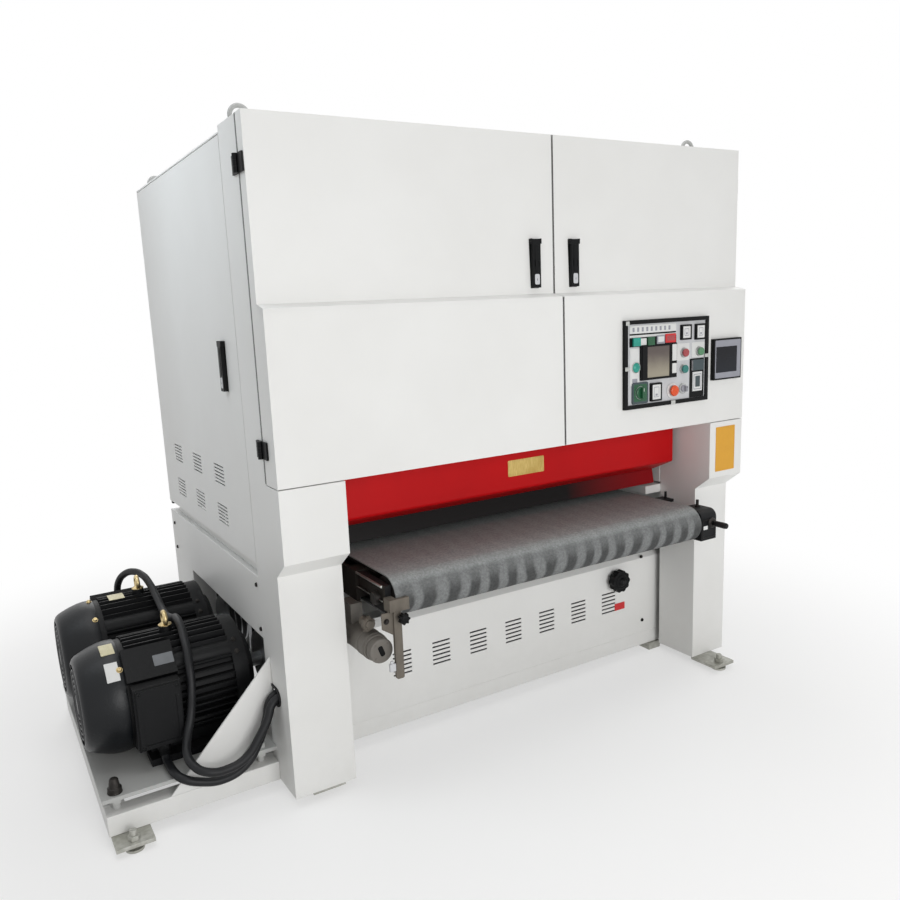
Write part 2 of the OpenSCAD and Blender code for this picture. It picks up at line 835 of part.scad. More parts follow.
// Grooved pulley along X
module pulley(x0, y, z) {
    rim = pulley_r;
    half = (vbelt_w + 1.6) / 2;
    mid = pulley_w / 2;
    translate([x0, y, z]) rotate([0, 90, 0]) difference() {
        cylinder(h = pulley_w, r = rim);
        for (i = [-1, 0, 1]) {
            translate([0, 0, mid + i * vbelt_pitch - half]) difference() {
                cylinder(h = 2 * half, r = rim + 1);
                translate([0, 0, -1]) cylinder(h = 2 * half + 2, r = groove_r);
            }
        }
    }
}

// Outline of a motor's frame: round core, parallel fins on four sides, smooth bosses between them
module frame_outline() {
    fin_pitch = 1.1 * motor_r / (fin_count - 1);
    boss_r = 0.19 * motor_r;
    circle(core_r);
    for (k = [0 : 3]) {
        for (i = [0 : fin_count - 1]) {
            off = (i - (fin_count - 1) / 2) * fin_pitch;
            edge = abs(off) + fin_t / 2;
            reach = sqrt(motor_r * motor_r - edge * edge);
            rotate(90 * k) translate([0, off - fin_t / 2]) square([reach, fin_t]);
        }
        rotate(90 * k + 45) translate([motor_r - boss_r - 2, 0]) circle(boss_r);
    }
}

// Finned motor frame with end shields, feet, lifting eye and the pad over its terminal box
module motor_frame(y, side) {
    shield = 46;
    foot_half = 140;
    web_half = foot_half - 25;
    eye_x = frame_x0 + 186;
    pad_l = 150;
    difference() {
        union() {
            translate([frame_x0 + shield, y, motor_z]) rotate([90, 0, 90])
                linear_extrude(motor_l - 2 * shield) frame_outline();
            for (x = [frame_x0, frame_x1 - shield]) rod_x(x, x + shield, y, motor_z, core_r + 14);
            rod_x(frame_x1 - 1, frame_x1 + hub_l, y, motor_z, 110);
            for (s = [-1, 1]) {
                box(
                    frame_x0 + 70, frame_x1 - 70, y + s * foot_half - 40, y + s * foot_half + 40,
                    plate_z + touch, plate_z + 22
                );
                box(
                    frame_x0 + 80, frame_x1 - 80, y + s * web_half - 12, y + s * web_half + 12,
                    plate_z + 20, motor_z - 85
                );
            }
            translate([frame_x0 + 30, y, motor_z]) rotate([-side * 45, 0, 0])
                translate([0, side < 0 ? -45 : -65, core_r - 20]) cube([pad_l, 110, motor_r - core_r + 22]);
            rod_z(eye_x, y, motor_z + core_r - 4, motor_z + motor_r + 14, 20);
            translate([eye_x, y, motor_z + motor_r + 36]) rotate([0, 90, 0])
                rotate_extrude() translate([20, 0]) circle(7);
        }
        rod_x(frame_x0 - 1, frame_x1 + hub_l + 1, y, motor_z, shaft_r + fit);
    }
}

module motor_1_frame() {
    color(black) place() motor_frame(head_1_y, -1);
}

module motor_2_frame() {
    color(black) place() motor_frame(head_2_y, 1);
}

// Half outline of a cup along local Y with a rounded rim at its closed end
module cup_outline(r, l, edge) {
    square([r - edge, l]);
    translate([0, edge]) square([r, l - edge]);
    translate([r - edge, edge]) circle(edge);
}

// Fan cowls: deep cups with a rounded and slotted end
module motor_cowls() {
    cowl_r = motor_r - 4;
    edge = 34;
    slot_n = 16;
    length = cowl_l - touch;
    color(black) place() {
        for (y = head_ys) {
            difference() {
                translate([motor_end, y, motor_z]) rotate([0, 90, 0]) rotate_extrude() difference() {
                    cup_outline(cowl_r, length, edge);
                    translate([0, sheet_t]) cup_outline(cowl_r - sheet_t, length, edge - sheet_t);
                }
                for (i = [0 : slot_n - 1]) {
                    translate([motor_end, y, motor_z]) rotate([i * 360 / slot_n, 0, 0])
                        translate([-1, -5, 50]) cube([sheet_t + 2, 10, 80]);
                }
            }
        }
    }
}

// Terminal boxes on the outer flanks of the motors, each with a cable gland
module terminal_boxes() {
    box_x0 = frame_x0 + 35;
    box_x1 = frame_x0 + 175;
    low = motor_z - 112;
    high = motor_z + 88;
    reach = motor_r + 22;
    lid_t = 8;
    lid_in = 5;
    gland_r = cable_r + 6;
    color(black) place() {
        for (i = [0, 1]) {
            y = head_ys[i];
            s = i == 0 ? -1 : 1;
            face = y + s * reach;
            lid = face + s * lid_t;
            difference() {
                union() {
                    box(box_x0, box_x1, min(y + s * 60, face), max(y + s * 60, face), low, high);
                    box(
                        box_x0 + lid_in, box_x1 - lid_in, min(face - s, lid), max(face - s, lid),
                        low + lid_in, high - lid_in
                    );
                }
                rod_x(box_x0 - 1, box_x1 + 1, y, motor_z, motor_r + touch);
            }
        }
        rod_z(box_x0 + 75, head_1_y - motor_r - 2, low - 18, low - touch, gland_r);
        rod_z(box_x0 + 105, head_2_y + motor_r + 2, high + touch, high + 20, gland_r);
    }
}

module motor_cables() {
    color(rubber) place() {
        tube(cable_1, cable_r);
        tube(cable_2, cable_r);
    }
}

// Screw jacks that raise the conveyor
module lift_jacks() {
    foot_z = leg_z + sill_h + touch;
    color(steel) place() {
        for (s = [-1, 1]) {
            for (y = lift_ys) {
                difference() {
                    union() {
                        box(s * lift_x - 30, s * lift_x + 30, y - 40, y + 40, foot_z, foot_z + 120);
                        rod_z(s * lift_x, y, foot_z, foot_z + jack_h, lift_r + 10);
                    }
                    rod_z(s * lift_x, y, foot_z + 4, foot_z + jack_h + 1, lift_r + fit);
                }
            }
        }
    }
}

// Variable speed feed drive behind the lower front panel
drive_y = panel_y + 64;
drive_half = 85;
drive_bore = 60;
module feed_drive() {
    drive_l = 2 * drive_half;
    motor_far = drive_y + drive_l + 300;
    foot_half = drive_half - 15;
    foot_y = lift_ys[0];
    color(grey_enamel) place() difference() {
        union() {
            box(
                wheel_x - drive_half, wheel_x + drive_half, drive_y, drive_y + drive_l,
                wheel_z - drive_half - 10, wheel_z + drive_half
            );
            rod_y(wheel_x, drive_y + drive_l - 1, motor_far, wheel_z, drive_half - 7);
            box(
                wheel_x - foot_half, wheel_x + foot_half, foot_y - 38, foot_y + 38,
                leg_z + sill_h + touch, wheel_z - drive_half - 9
            );
            rod_x(wheel_x + drive_half - 1, wheel_x + drive_half + 45, drive_y + 90, wheel_z, 45);
        }
        rod_y(wheel_x, drive_y - 1, drive_y + drive_bore, wheel_z, wheel_shaft_r + fit);
    }
}

// Side outline of a front door; a positive inset gives the hollow, open to the back
function door_outline(inset) = let (back = inset > 0 ? door_t : door_t - seam) [
    [back, body_h - inset], [inset, body_h - inset], [inset, ledge_z + ledge_h / 2 - inset / 2],
    [-bulge + inset, ledge_z - ledge_h / 2 - inset / 2], [-bulge + inset, door_z + inset],
    [back, door_z + inset]
];

// Ears and pin that carry a lever handle on a front door
module handle_ears(x) {
    z = handle_z + handle_l - 8;
    for (s = [-1, 1]) {
        x_0 = x + s * (handle_w / 2 + 2) - 1.6;
        box(x_0, x_0 + 3.2, -14, 1, z - 7, z + 8);
    }
    rod_x(x - handle_w / 2 - 2, x + handle_w / 2 + 2, -8, z, handle_pin_r);
}

module front_door(x0, x1, handle_x) {
    difference() {
        prism_x(x0, x1, door_outline(0));
        prism_x(x0 + sheet_t, x1 - sheet_t, door_outline(sheet_t));
    }
    handle_ears(handle_x);
}

module left_front_door() {
    color(enamel) place() front_door(left_x, door_split - seam / 2, door_split - handle_off);
}

module right_front_door() {
    color(enamel) place() difference() {
        front_door(door_split + seam / 2, right_x, door_split + handle_off);
        box(
            panel_x0 + 24, panel_x0 + panel_w - 24, face_y - 1, face_y + sheet_t + 1,
            panel_bottom + 24, panel_bottom + panel_h - 24
        );
    }
}

module left_door_knuckles() {
    color(black) place() knuckles(-1);
}

module right_door_knuckles() {
    color(black) place() knuckles(1);
}

// Lever handle hanging from a pin at its upper end, in the plane of a face at local Y = 0
module lever() {
    difference() {
        union() {
            rod_x(-handle_w / 2 + clear, handle_w / 2 - clear, -8, -8, 7);
            box(-handle_w / 2 + clear, handle_w / 2 - clear, -15, -1, -handle_l, -8);
        }
        rod_x(-handle_w, handle_w, -8, -8, handle_pin_r + fit);
        rod_x(-9, 9, -19, -handle_l / 2, 12);
    }
}

module left_door_handle() {
    color(black) place() translate([door_split - handle_off, 0, handle_z + handle_l]) lever();
}

module right_door_handle() {
    color(black) place() translate([door_split + handle_off, 0, handle_z + handle_l]) lever();
}

// Black frame round the control panel
module control_frame() {
    color(black) place() difference() {
        box(
            panel_x0, panel_x0 + panel_w, panel_face - 6, face_y - touch,
            panel_bottom, panel_bottom + panel_h
        );
        box(
            panel_x0 + panel_lip, panel_x0 + panel_w - panel_lip, panel_face - 7, face_y,
            panel_bottom + panel_lip, panel_bottom + panel_h - panel_lip
        );
    }
}

// Places on the control plate, as shares of its width and height from the upper left
function spot(u, v) = [panel_x0 + u * panel_w, panel_bottom + (1 - v) * panel_h];
button_spots = [spot(0.7, 0.41), spot(0.89, 0.41), spot(0.695, 0.6)];
stop_spot = spot(0.56, 0.84);
switch_spot = spot(0.175, 0.82);
key_spot = spot(0.69, 0.83);
stem_r = 7;
stop_stem_r = 9;
stem_l = 26;

module module_box(u0, u1, v0, v1, proud) {
    low = spot(u0, v1);
    high = spot(u1, v0);
    box(low.x, high.x, panel_face - proud, panel_face + 1, low.y, high.y);
}

// Plate with meters, displays and bezels; buttons run in its holes
module control_plate() {
    ring = 4;
    color(grey_enamel) place() difference() {
        union() {
            box(
                panel_x0 + panel_lip + touch, panel_x0 + panel_w - panel_lip - touch,
                panel_face, face_y - touch,
                panel_bottom + panel_lip + touch, panel_bottom + panel_h - panel_lip - touch
            );
            module_box(0.18, 0.53, 0.285, 0.675, 6);
            module_box(0.655, 0.768, 0.09, 0.255, 9);
            module_box(0.832, 0.945, 0.09, 0.265, 9);
            module_box(0.295, 0.414, 0.73, 0.93, 9);
            module_box(0.08, 0.56, 0.06, 0.14, 2);
            module_box(0.37, 0.45, 0.19, 0.26, 5);
            module_box(0.48, 0.58, 0.18, 0.25, 5);
            module_box(0.8, 0.936, 0.51, 0.63, 8);
            module_box(0.81, 0.93, 0.65, 0.88, 3);
            module_box(0.09, 0.26, 0.705, 0.94, 4);
            for (u = [0.123, 0.29]) {
                p = spot(u, 0.225);
                rod_y(p.x, panel_face - 8, panel_face + 1, p.y, 9);
            }
            for (p = button_spots) rod_y(p.x, panel_face - ring, panel_face + 1, p.y, 15);
            rod_y(stop_spot.x, panel_face - ring, panel_face + 1, stop_spot.y, 18);
            rod_y(key_spot.x, panel_face - ring, panel_face + 1, key_spot.y, 16);
        }
        for (p = button_spots) rod_y(p.x, panel_face - ring - 1, face_y, p.y, stem_r + fit);
        rod_y(stop_spot.x, panel_face - ring - 1, face_y, stop_spot.y, stop_stem_r + fit);
        rod_y(key_spot.x, panel_face - ring - 1, face_y, key_spot.y, stem_r + fit);
        rod_y(switch_spot.x, panel_face - ring - 1, face_y, switch_spot.y, stem_r + fit);
    }
}

module operator_screen() {
    color(black) place() difference() {
        box(
            screen_x0, screen_x0 + screen_w, face_y - 16, face_y - touch,
            screen_bottom, screen_bottom + screen_h
        );
        box(
            screen_x0 + 14, screen_x0 + screen_w - 14, face_y - 17, face_y - 13,
            screen_bottom + 26, screen_bottom + screen_h - 14
        );
    }
}

// Push button with its stem in the plate
module button(p, head_r, stem, head_l) {
    head_back = panel_face - 4 - button_travel - clear;
    rod_y(p.x, head_back - head_l, head_back, p.y, head_r);
    rod_y(p.x, head_back - 1, head_back + stem_l, p.y, stem);
}

module stop_button() {
    color("#d8431f") place() button(stop_spot, 20, stop_stem_r, 12);
}

module red_button() {
    color("#c4201f") place() button(button_spots[0], 12, stem_r, 7);
}

module green_button() {
    color("#1d9e54") place() button(button_spots[1], 12, stem_r, 7);
}

module teal_button() {
    color("#1f8f8a") place() button(button_spots[2], 12, stem_r, 7);
}

// Turned knob with a grip bar
module turn_knob(p, knob_r) {
    back = panel_face - 4 - clear;
    rod_y(p.x, back - 8, back, p.y, knob_r);
    box(p.x - 5, p.x + 5, back - 20, back - 7, p.y - knob_r + 2, p.y + knob_r - 2);
    rod_y(p.x, back - 1, back + stem_l, p.y, stem_r);
}

module main_switch() {
    color(black) place() turn_knob(switch_spot, 22);
}

module key_selector() {
    color(grey_enamel) place() turn_knob(key_spot, 13);
}

// Side door: folded tray hung on pins at its rear corners; side -1 is left
module side_door(side) {
    y0 = col_back + seam;
    y1 = body_d - seam;
    z0 = side_door_z + seam;
    z1 = roof_z - roof_t - seam;
    x_out = side * body_w / 2;
    x_in = x_out - side * side_door_t;
    x_pin = side * (body_w / 2 - pivot_in);
    x_wall = x_out - side * sheet_t;
    difference() {
        union() {
            difference() {
                box(min(x_out, x_in), max(x_out, x_in), y0, y1, z0, z1);
                box(
                    min(x_wall, x_in - side), max(x_wall, x_in - side), y0 + sheet_t, y1 - sheet_t,
                    z0 + sheet_t, z1 - sheet_t
                );
            }
            for (z = [z0, z1 - 36]) rod_z(x_pin, pivot_y, z, z + 36, pivot_in - 1);
        }
        for (z = [z0 - 1, z1 - 30]) rod_z(x_pin, pivot_y, z, z + 31, pivot_r + fit);
        for (i = [0 : 2]) {
            for (z = [side_door_z + 98, side_door_z + 236]) {
                translate([x_out, 530 + i * 280, z]) rotate([90, 0, 90]) slots(6, 115, 5, 12);
            }
        }
    }
}

module left_side_door() {
    color(enamel) place() {
        side_door(-1);
        translate([left_x, side_handle_y, 0]) rotate([0, 0, -90])
            translate([0, 0, side_handle_z - handle_z]) handle_ears(0);
    }
}

module right_side_door() {
    color(enamel) place() side_door(1);
}

module left_side_handle() {
    color(black) place() translate([left_x, side_handle_y, side_handle_z + handle_l])
        rotate([0, 0, -90]) lever();
}

// Conveyor bed: top plate, cross tubes and side plates with lugs for the lift screws
module conveyor_bed() {
    plate_h = 12;
    top = belt_z - belt_t - belt_gap;
    y0 = front_roller_y + roller_r + 15;
    y1 = rear_roller_y - roller_r - 15;
    plate_0 = block_front + block_d + touch;
    plate_1 = rear_roller_y - block_d + 40 - touch;
    low = roller_z - roller_r + 20;
    color(grey_enamel) place() difference() {
        union() {
            box(-belt_w / 2 + 5, belt_w / 2 - 5, y0, y1, top - plate_h, top);
            for (i = [0 : 3]) {
                y = beam_y + i * (y1 - y0 - 180) / 3;
                box(
                    -side_plate_x - side_plate_t, side_plate_x + side_plate_t, y, y + 60,
                    low, top - plate_h + 1
                );
            }
            for (s = [-1, 1]) {
                x_0 = s < 0 ? -side_plate_x - side_plate_t : side_plate_x;
                y_0 = s < 0 ? beam_y : plate_0;
                box(x_0, x_0 + side_plate_t, y_0, plate_1, low - 10, top - plate_h);
                for (y = lift_ys) {
                    lug_0 = s < 0 ? -lift_x - 24 : side_plate_x + side_plate_t - 1;
                    lug_1 = s < 0 ? -side_plate_x - side_plate_t + 1 : lift_x + 24;
                    box(lug_0, lug_1, y - 35, y + 35, lug_z, lug_z + lug_h);
                }
            }
        }
        for (s = [-1, 1]) {
            for (y = lift_ys) rod_z(s * lift_x, y, lug_z - 1, lug_z + lug_h + 1, lift_r + touch);
        }
    }
}

module feed_belt() {
    run = rear_roller_y - front_roller_y;
    color(belt_grey) place() translate([-belt_w / 2, front_roller_y, roller_z]) rotate([90, 0, 90])
        linear_extrude(belt_w) rotate(-90) difference() {
            loop_outline(roller_r + belt_t, roller_r + belt_t, run);
            loop_outline(roller_r + belt_gap, roller_r + belt_gap, run);
        }
}

module conveyor_roller(y) {
    rod_x(-belt_w / 2, belt_w / 2, y, roller_z, roller_r);
    rod_x(-roller_end, roller_end, y, roller_z, roller_shaft_r);
}

module drive_roller() {
    color(steel) place() {
        conveyor_roller(rear_roller_y);
        rod_x(roller_end - 1, roller_end + 40, rear_roller_y, roller_z, roller_shaft_r - 2);
    }
}

module idler_roller() {
    color(steel) place() conveyor_roller(front_roller_y);
}

// Blocks that carry the rollers; the front right one is a bracket with a rounded nose
bracket_r = 30;
bracket_w = 80;
block_x = belt_w / 2 + 10;
handle_x = block_x + 55;
stud_h = 26;
slide_x = -side_plate_x + touch;
slide_t = side_plate_x - belt_w / 2 - 3 - touch;
module roller_blocks() {
    z0 = roller_z - 40;
    z1 = roller_z + 40;
    top = belt_z - 15;
    low = roller_z - 64;
    nose = block_front - 15;
    back = block_front + block_d;
    shelf_x = side_plate_x + side_plate_t + touch;
    ledge_x = handle_x + 30;
    ledge_y = 145;
    color(black) place() {
        difference() {
            union() {
                box(slide_x, slide_x + slide_t, block_front, beam_y - touch, roller_z - 2, roller_z + 44);
                box(slide_x, slide_x + slide_t, block_front, back, z0, roller_z);
            }
            rod_x(slide_x - 1, slide_x + slide_t + 1, front_roller_y, roller_z, roller_shaft_r + fit);
        }
        difference() {
            union() {
                box(block_x, block_x + bracket_w, nose + bracket_r, back, low, top);
                box(block_x, block_x + bracket_w, nose, back, low, top - bracket_r);
                rod_x(block_x, block_x + bracket_w, nose + bracket_r, top - bracket_r, bracket_r);
                rod_z(handle_x, back - 30, top - 1, top + stud_h, 5);
            }
            rod_x(block_x - 1, roller_end + 2, front_roller_y, roller_z, roller_shaft_r + fit);
            rod_y(handle_x, nose - 1, nose + 30, roller_z, 8 + fit);
        }
        for (s = [-1, 1]) {
            x_0 = s < 0 ? -block_x - 46 : block_x;
            difference() {
                box(x_0, x_0 + 46, rear_roller_y - block_d + 40, rear_roller_y + 40, z0, z1);
                rod_x(x_0 - 1, x_0 + 47, rear_roller_y, roller_z, roller_shaft_r + fit);
            }
        }
        box(shelf_x, ledge_x + 15, ledge_y - 30, ledge_y + 30, belt_z - 33, belt_z - 21);
        rod_z(ledge_x, ledge_y, belt_z - 22, belt_z + 6, 5);
    }
}

module tension_handle() {
    nose = block_front - 15;
    color(black) place() {
        rod_y(handle_x, nose - handle_reach, nose + 29, roller_z, 8);
        rod_y(handle_x, nose - handle_reach, nose - handle_reach + 50, roller_z, 10);
    }
}

// Bracket on the front left bearing: clamp block, flat hanging bar, side flange and star knob
module hanger_bracket() {
    clamp_x = -belt_w / 2 - 30;
    clamp_w = 65;
    clamp_z = roller_z - 26;
    clamp_h = 38;
    clamp_front = front_roller_y - 80;
    clamp_back = front_roller_y - roller_r - belt_t - 2;
    bar_x = clamp_x + 11;
    bar_w = 26;
    bar_low = 405;
    knob_x = bar_x + 23;
    knob_z = clamp_z - 17;
    knob_r = 13;
    lobes = 7;
    flange = [
        [bar_x + 1, clamp_z + 1], [clamp_x - 25, clamp_z + 1], [clamp_x - 25, clamp_z - 47],
        [bar_x + 1, clamp_z - 72]
    ];
    color("#8a7d70") place() {
        box(clamp_x, clamp_x + clamp_w, clamp_front, clamp_back, clamp_z, clamp_z + clamp_h);
        box(
            clamp_x, -belt_w / 2 - 4, clamp_back - 1, block_front - touch,
            clamp_z, clamp_z + clamp_h
        );
        box(bar_x, bar_x + bar_w, clamp_front, clamp_front + 12, bar_low, clamp_z + 1);
        prism_y(clamp_front + 6, clamp_front + 12, flange);
        rod_y(knob_x, clamp_front - 20, clamp_front + 1, knob_z, 6);
        translate([knob_x, clamp_front - 12, knob_z]) rotate([90, 0, 0]) linear_extrude(20) {
            circle(knob_r);
            for (i = [0 : lobes - 1]) rotate(i * 360 / lobes) translate([knob_r, 0]) circle(4.5);
        }
    }
}

// Small motor that steers the front roller, hung from the end of the left side plate
module tracking_motor() {
    x = -side_plate_x - 23;
    z = roller_z - 152;
    r = 41;
    hanger_w = 20;
    color(steel) place() {
        rod_y(x, block_front + touch, block_front + 30, z, r - 4);
        rod_y(x, block_front + 29, block_front + 200, z, r);
        box(
            x - hanger_w, x + hanger_w, beam_y - 15, beam_y + 55,
            z + r - 12, roller_z - 50 - touch
        );
    }
}

module lift_screws() {
    low = leg_z + sill_h + table_down + 8;
    color(zinc) place() {
        for (s = [-1, 1]) {
            for (y = lift_ys) rod_z(s * lift_x, y, low, lug_z + lug_h, lift_r);
        }
    }
}

// Contact drum with its shaft and drive pulley
module drum(y) {
    rod_x(-drum_w / 2, drum_w / 2, y, drum_z, drum_r);
    rod_x(pulley_x + pulley_w - 1, rail_in + 70, y, drum_z, drum_shaft_r);
    pulley(pulley_x, y, drum_z);
}

module contact_drum_1() {
    color(rubber) place() drum(head_1_y);
}

module contact_drum_2() {
    color(rubber) place() drum(head_2_y);
}

module tension_roller(y) {
    rod_x(-drum_w / 2, drum_w / 2, y, top_roller_z, tension_r);
    rod_x(-drum_w / 2 - 20, drum_w / 2 + 20, y, top_roller_z, 20);
}

module tension_roller_1() {
    color(steel) place() tension_roller(head_1_y);
}

module tension_roller_2() {
    color(steel) place() tension_roller(head_2_y);
}

// Rotor: shaft, cooling fan inside the cowl and drive pulley
module rotor(y) {
    fan_r = motor_r - 40;
    fan_x = motor_end + 36;
    fan_t = 6;
    blade_t = 4;
    blade_n = 8;
    rod_x(fan_x - 6, pulley_x + pulley_w + 8, y, motor_z, shaft_r);
    rod_x(fan_x, fan_x + fan_t, y, motor_z, fan_r);
    for (i = [0 : blade_n - 1]) {
        translate([fan_x + fan_t - 1, y, motor_z]) rotate([i * 360 / blade_n, 0, 0])
            translate([0, -blade_t / 2, shaft_r - 2]) cube([50, blade_t, fan_r - shaft_r]);
    }
    pulley(pulley_x, y, motor_z);
}

module motor_1_rotor() {
    color(steel) place() rotor(head_1_y);
}

module motor_2_rotor() {
    color(steel) place() rotor(head_2_y);
}

module pressure_roller(y) {
    rod_x(-drum_w / 2, drum_w / 2, y, press_z, press_r);
    rod_x(-drum_w / 2 - 30, rail_in + 30, y, press_z, press_shaft_r);
}

module pressure_roller_1() {
    color(rubber) place() pressure_roller(press_ys[0]);
}

module pressure_roller_2() {
    color(rubber) place() pressure_roller(press_ys[1]);
}

// Lobed handwheel with its shaft in the feed drive
module speed_handwheel() {
    face = panel_y - 50;
    lobes = 6;
    color(black) place() {
        translate([wheel_x, panel_y - 16, wheel_z]) rotate([90, 0, 0]) linear_extrude(34) {
            circle(wheel_r - 8);
            for (i = [0 : lobes - 1]) rotate(i * 360 / lobes) translate([wheel_r, 0]) circle(11);
            for (i = [0 : lobes - 1]) rotate(i * 360 / lobes) translate([0, -8]) square([wheel_r, 16]);
        }
        rod_y(wheel_x, face - 8, drive_y + drive_bore - 2, wheel_z, wheel_shaft_r);
    }
}

base_frame();
left_column();
right_column();
cabinet_frame();
rear_panel();
motor_bed();
motor_plate();
louvre_panel();
levelling_feet();
lifting_eyes();
infeed_guard();
electrical_board();
hinge_leaves();
bearing_blocks();
sanding_belts();
tension_yokes();
drive_belts();
motor_1_frame();
motor_2_frame();
motor_cowls();
terminal_boxes();
motor_cables();
lift_jacks();
feed_drive();
left_front_door();
left_door_knuckles();
left_door_handle();
right_front_door();
right_door_knuckles();
right_door_handle();
control_frame();
control_plate();
operator_screen();
stop_button();
red_button();
green_button();
teal_button();
main_switch();
key_selector();
left_side_door();
left_side_handle();
right_side_door();
conveyor_bed();
feed_belt();
drive_roller();
idler_roller();
roller_blocks();
tension_handle();
hanger_bracket();
tracking_motor();
lift_screws();
contact_drum_1();
contact_drum_2();
tension_roller_1();
tension_roller_2();
motor_1_rotor();
motor_2_rotor();
pressure_roller_1();
pressure_roller_2();
speed_handwheel();
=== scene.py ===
import math
import bmesh
import bpy
from mathutils import Matrix, Vector


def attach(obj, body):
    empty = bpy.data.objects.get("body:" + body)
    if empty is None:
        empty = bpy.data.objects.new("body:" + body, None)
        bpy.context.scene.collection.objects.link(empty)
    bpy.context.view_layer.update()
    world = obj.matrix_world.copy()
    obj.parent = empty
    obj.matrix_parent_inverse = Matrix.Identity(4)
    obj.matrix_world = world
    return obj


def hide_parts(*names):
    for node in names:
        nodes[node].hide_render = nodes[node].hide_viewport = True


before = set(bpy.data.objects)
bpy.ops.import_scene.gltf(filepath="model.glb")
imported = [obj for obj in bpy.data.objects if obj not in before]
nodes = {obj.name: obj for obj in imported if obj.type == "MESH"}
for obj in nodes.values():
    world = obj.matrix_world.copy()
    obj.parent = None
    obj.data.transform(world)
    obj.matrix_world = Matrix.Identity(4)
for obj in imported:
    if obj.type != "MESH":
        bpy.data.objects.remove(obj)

scene = bpy.context.scene
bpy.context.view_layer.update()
scene.view_settings.view_transform = "Standard"

rowShift = (262.5, -640.0)  # from the machine's own origin to the row's, in millimetres
milli = 0.001
metre = 1000.0  # in millimetres, for the patterns' scales
foldAngle = math.radians(38)  # sharper edges get a rounding, and are shaded sharp
fullTurn = 2 * math.pi
tipRadius = 1e-6  # a ring smaller than this is one point


def at(x, y, z):  # machine millimetres (mid width, door plane, floor) to row metres
    return Vector((x + rowShift[0], y + rowShift[1], z)) * milli


def toLinear(hexText):  # sRGB hex to the linear colour a socket takes
    parts = [int(hexText[i:i + 2], 16) / 255 for i in (1, 3, 5)]
    return tuple(p / 12.92 if p <= 0.04045 else ((p + 0.055) / 1.055) ** 2.4 for p in parts) + (1.0,)


# camera, taken from the photograph's vanishing lines
photo = {"place": (-1.4085, -2.777, 1.476), "azimuth": -30.2, "elevation": 10.98, "roll": -2.63,
         "lens": 32.34, "sensor": 36, "shift": (0.019, 0.0183)}
turnA, turnE, turnR = (math.radians(photo[k]) for k in ("azimuth", "elevation", "roll"))
back = Vector((math.sin(turnA) * math.cos(turnE), -math.cos(turnA) * math.cos(turnE), math.sin(turnE)))
side = Vector((math.cos(turnA), math.sin(turnA), 0))
rise = back.cross(side)
camData = bpy.data.cameras.new("photo_camera")
camData.sensor_width = photo["sensor"]
camData.lens = photo["lens"]
camData.shift_x, camData.shift_y = photo["shift"]
camera = bpy.data.objects.new("photo_camera", camData)
scene.collection.objects.link(camera)
turned = Matrix((math.cos(turnR) * side + math.sin(turnR) * rise,
                 math.cos(turnR) * rise - math.sin(turnR) * side, back)).transposed()
camera.matrix_world = Matrix.Translation(photo["place"]) @ turned.to_4x4()
scene.camera = camera
print("camera set")


def addNode(tree, kind, links, **settings):  # one node with its settings and links, gives its outputs
    made = tree.nodes.new("ShaderNode" + kind)
    for key, value in settings.items():
        setattr(made, key, value)
    for key, value in links.items():
        if isinstance(value, bpy.types.NodeSocket):
            tree.links.new(value, made.inputs[key])
        else:
            made.inputs[key].default_value = value
    return made.outputs


def startMaterial(name):
    mat = bpy.data.materials.new(name)
    mat.use_nodes = True
    tree = mat.node_tree
    shader = tree.nodes["Principled BSDF"]
    place = addNode(tree, "TexCoord", {})["Object"]
    return mat, tree, shader, place


def setShader(tree, shader, **values):
    for key, value in values.items():
        socket = shader.inputs[key.replace("_", " ")]
        if isinstance(value, bpy.types.NodeSocket):
            tree.links.new(value, socket)
        else:
            socket.default_value = value


# powder coat: even colour, faint cloudiness, soft orange peel and a breath of dust near the floor
def powderCoat(name, hexText, dustHex, cloudSize=385, speckSize=45.5, peelSize=7.14):  # sizes in millimetres
    mat, tree, shader, place = startMaterial(name)
    cloud = addNode(tree, "TexNoise", {"Vector": place, "Scale": metre / cloudSize, "Detail": 3.0})["Fac"]
    faint = addNode(tree, "MapRange", {"Value": cloud, "From Min": 0.3, "From Max": 0.7,
                                       "To Max": 0.1})["Result"]
    height = addNode(tree, "SeparateXYZ", {"Vector": place})["Z"]
    low = addNode(tree, "MapRange", {"Value": height, "From Min": 0.02, "From Max": 0.42,
                                     "To Min": 0.16, "To Max": 0.0})["Result"]
    speck = addNode(tree, "TexNoise", {"Vector": place, "Scale": metre / speckSize, "Detail": 6.0,
                                       "Roughness": 0.7})["Fac"]
    dirt = addNode(tree, "Math", {0: low, 1: speck}, operation="MULTIPLY")["Value"]
    dust = addNode(tree, "Math", {0: dirt, 1: faint}, operation="ADD")["Value"]
    tint = addNode(tree, "Mix", {"Factor": dust, "A": toLinear(hexText), "B": toLinear(dustHex)},
                   data_type="RGBA")["Result"]
    # the real peel of about 2 mm is too fine to show, so it is drawn coarser
    peel = addNode(tree, "TexNoise", {"Vector": place, "Scale": metre / peelSize, "Detail": 1.0})["Fac"]
    bump = addNode(tree, "Bump", {"Height": peel, "Strength": 0.05, "Distance": 2 * milli})["Normal"]
    rough = addNode(tree, "MapRange", {"Value": speck, "To Min": 0.4, "To Max": 0.52})["Result"]
    setShader(tree, shader, Base_Color=tint, Roughness=rough, Normal=bump)
    return mat


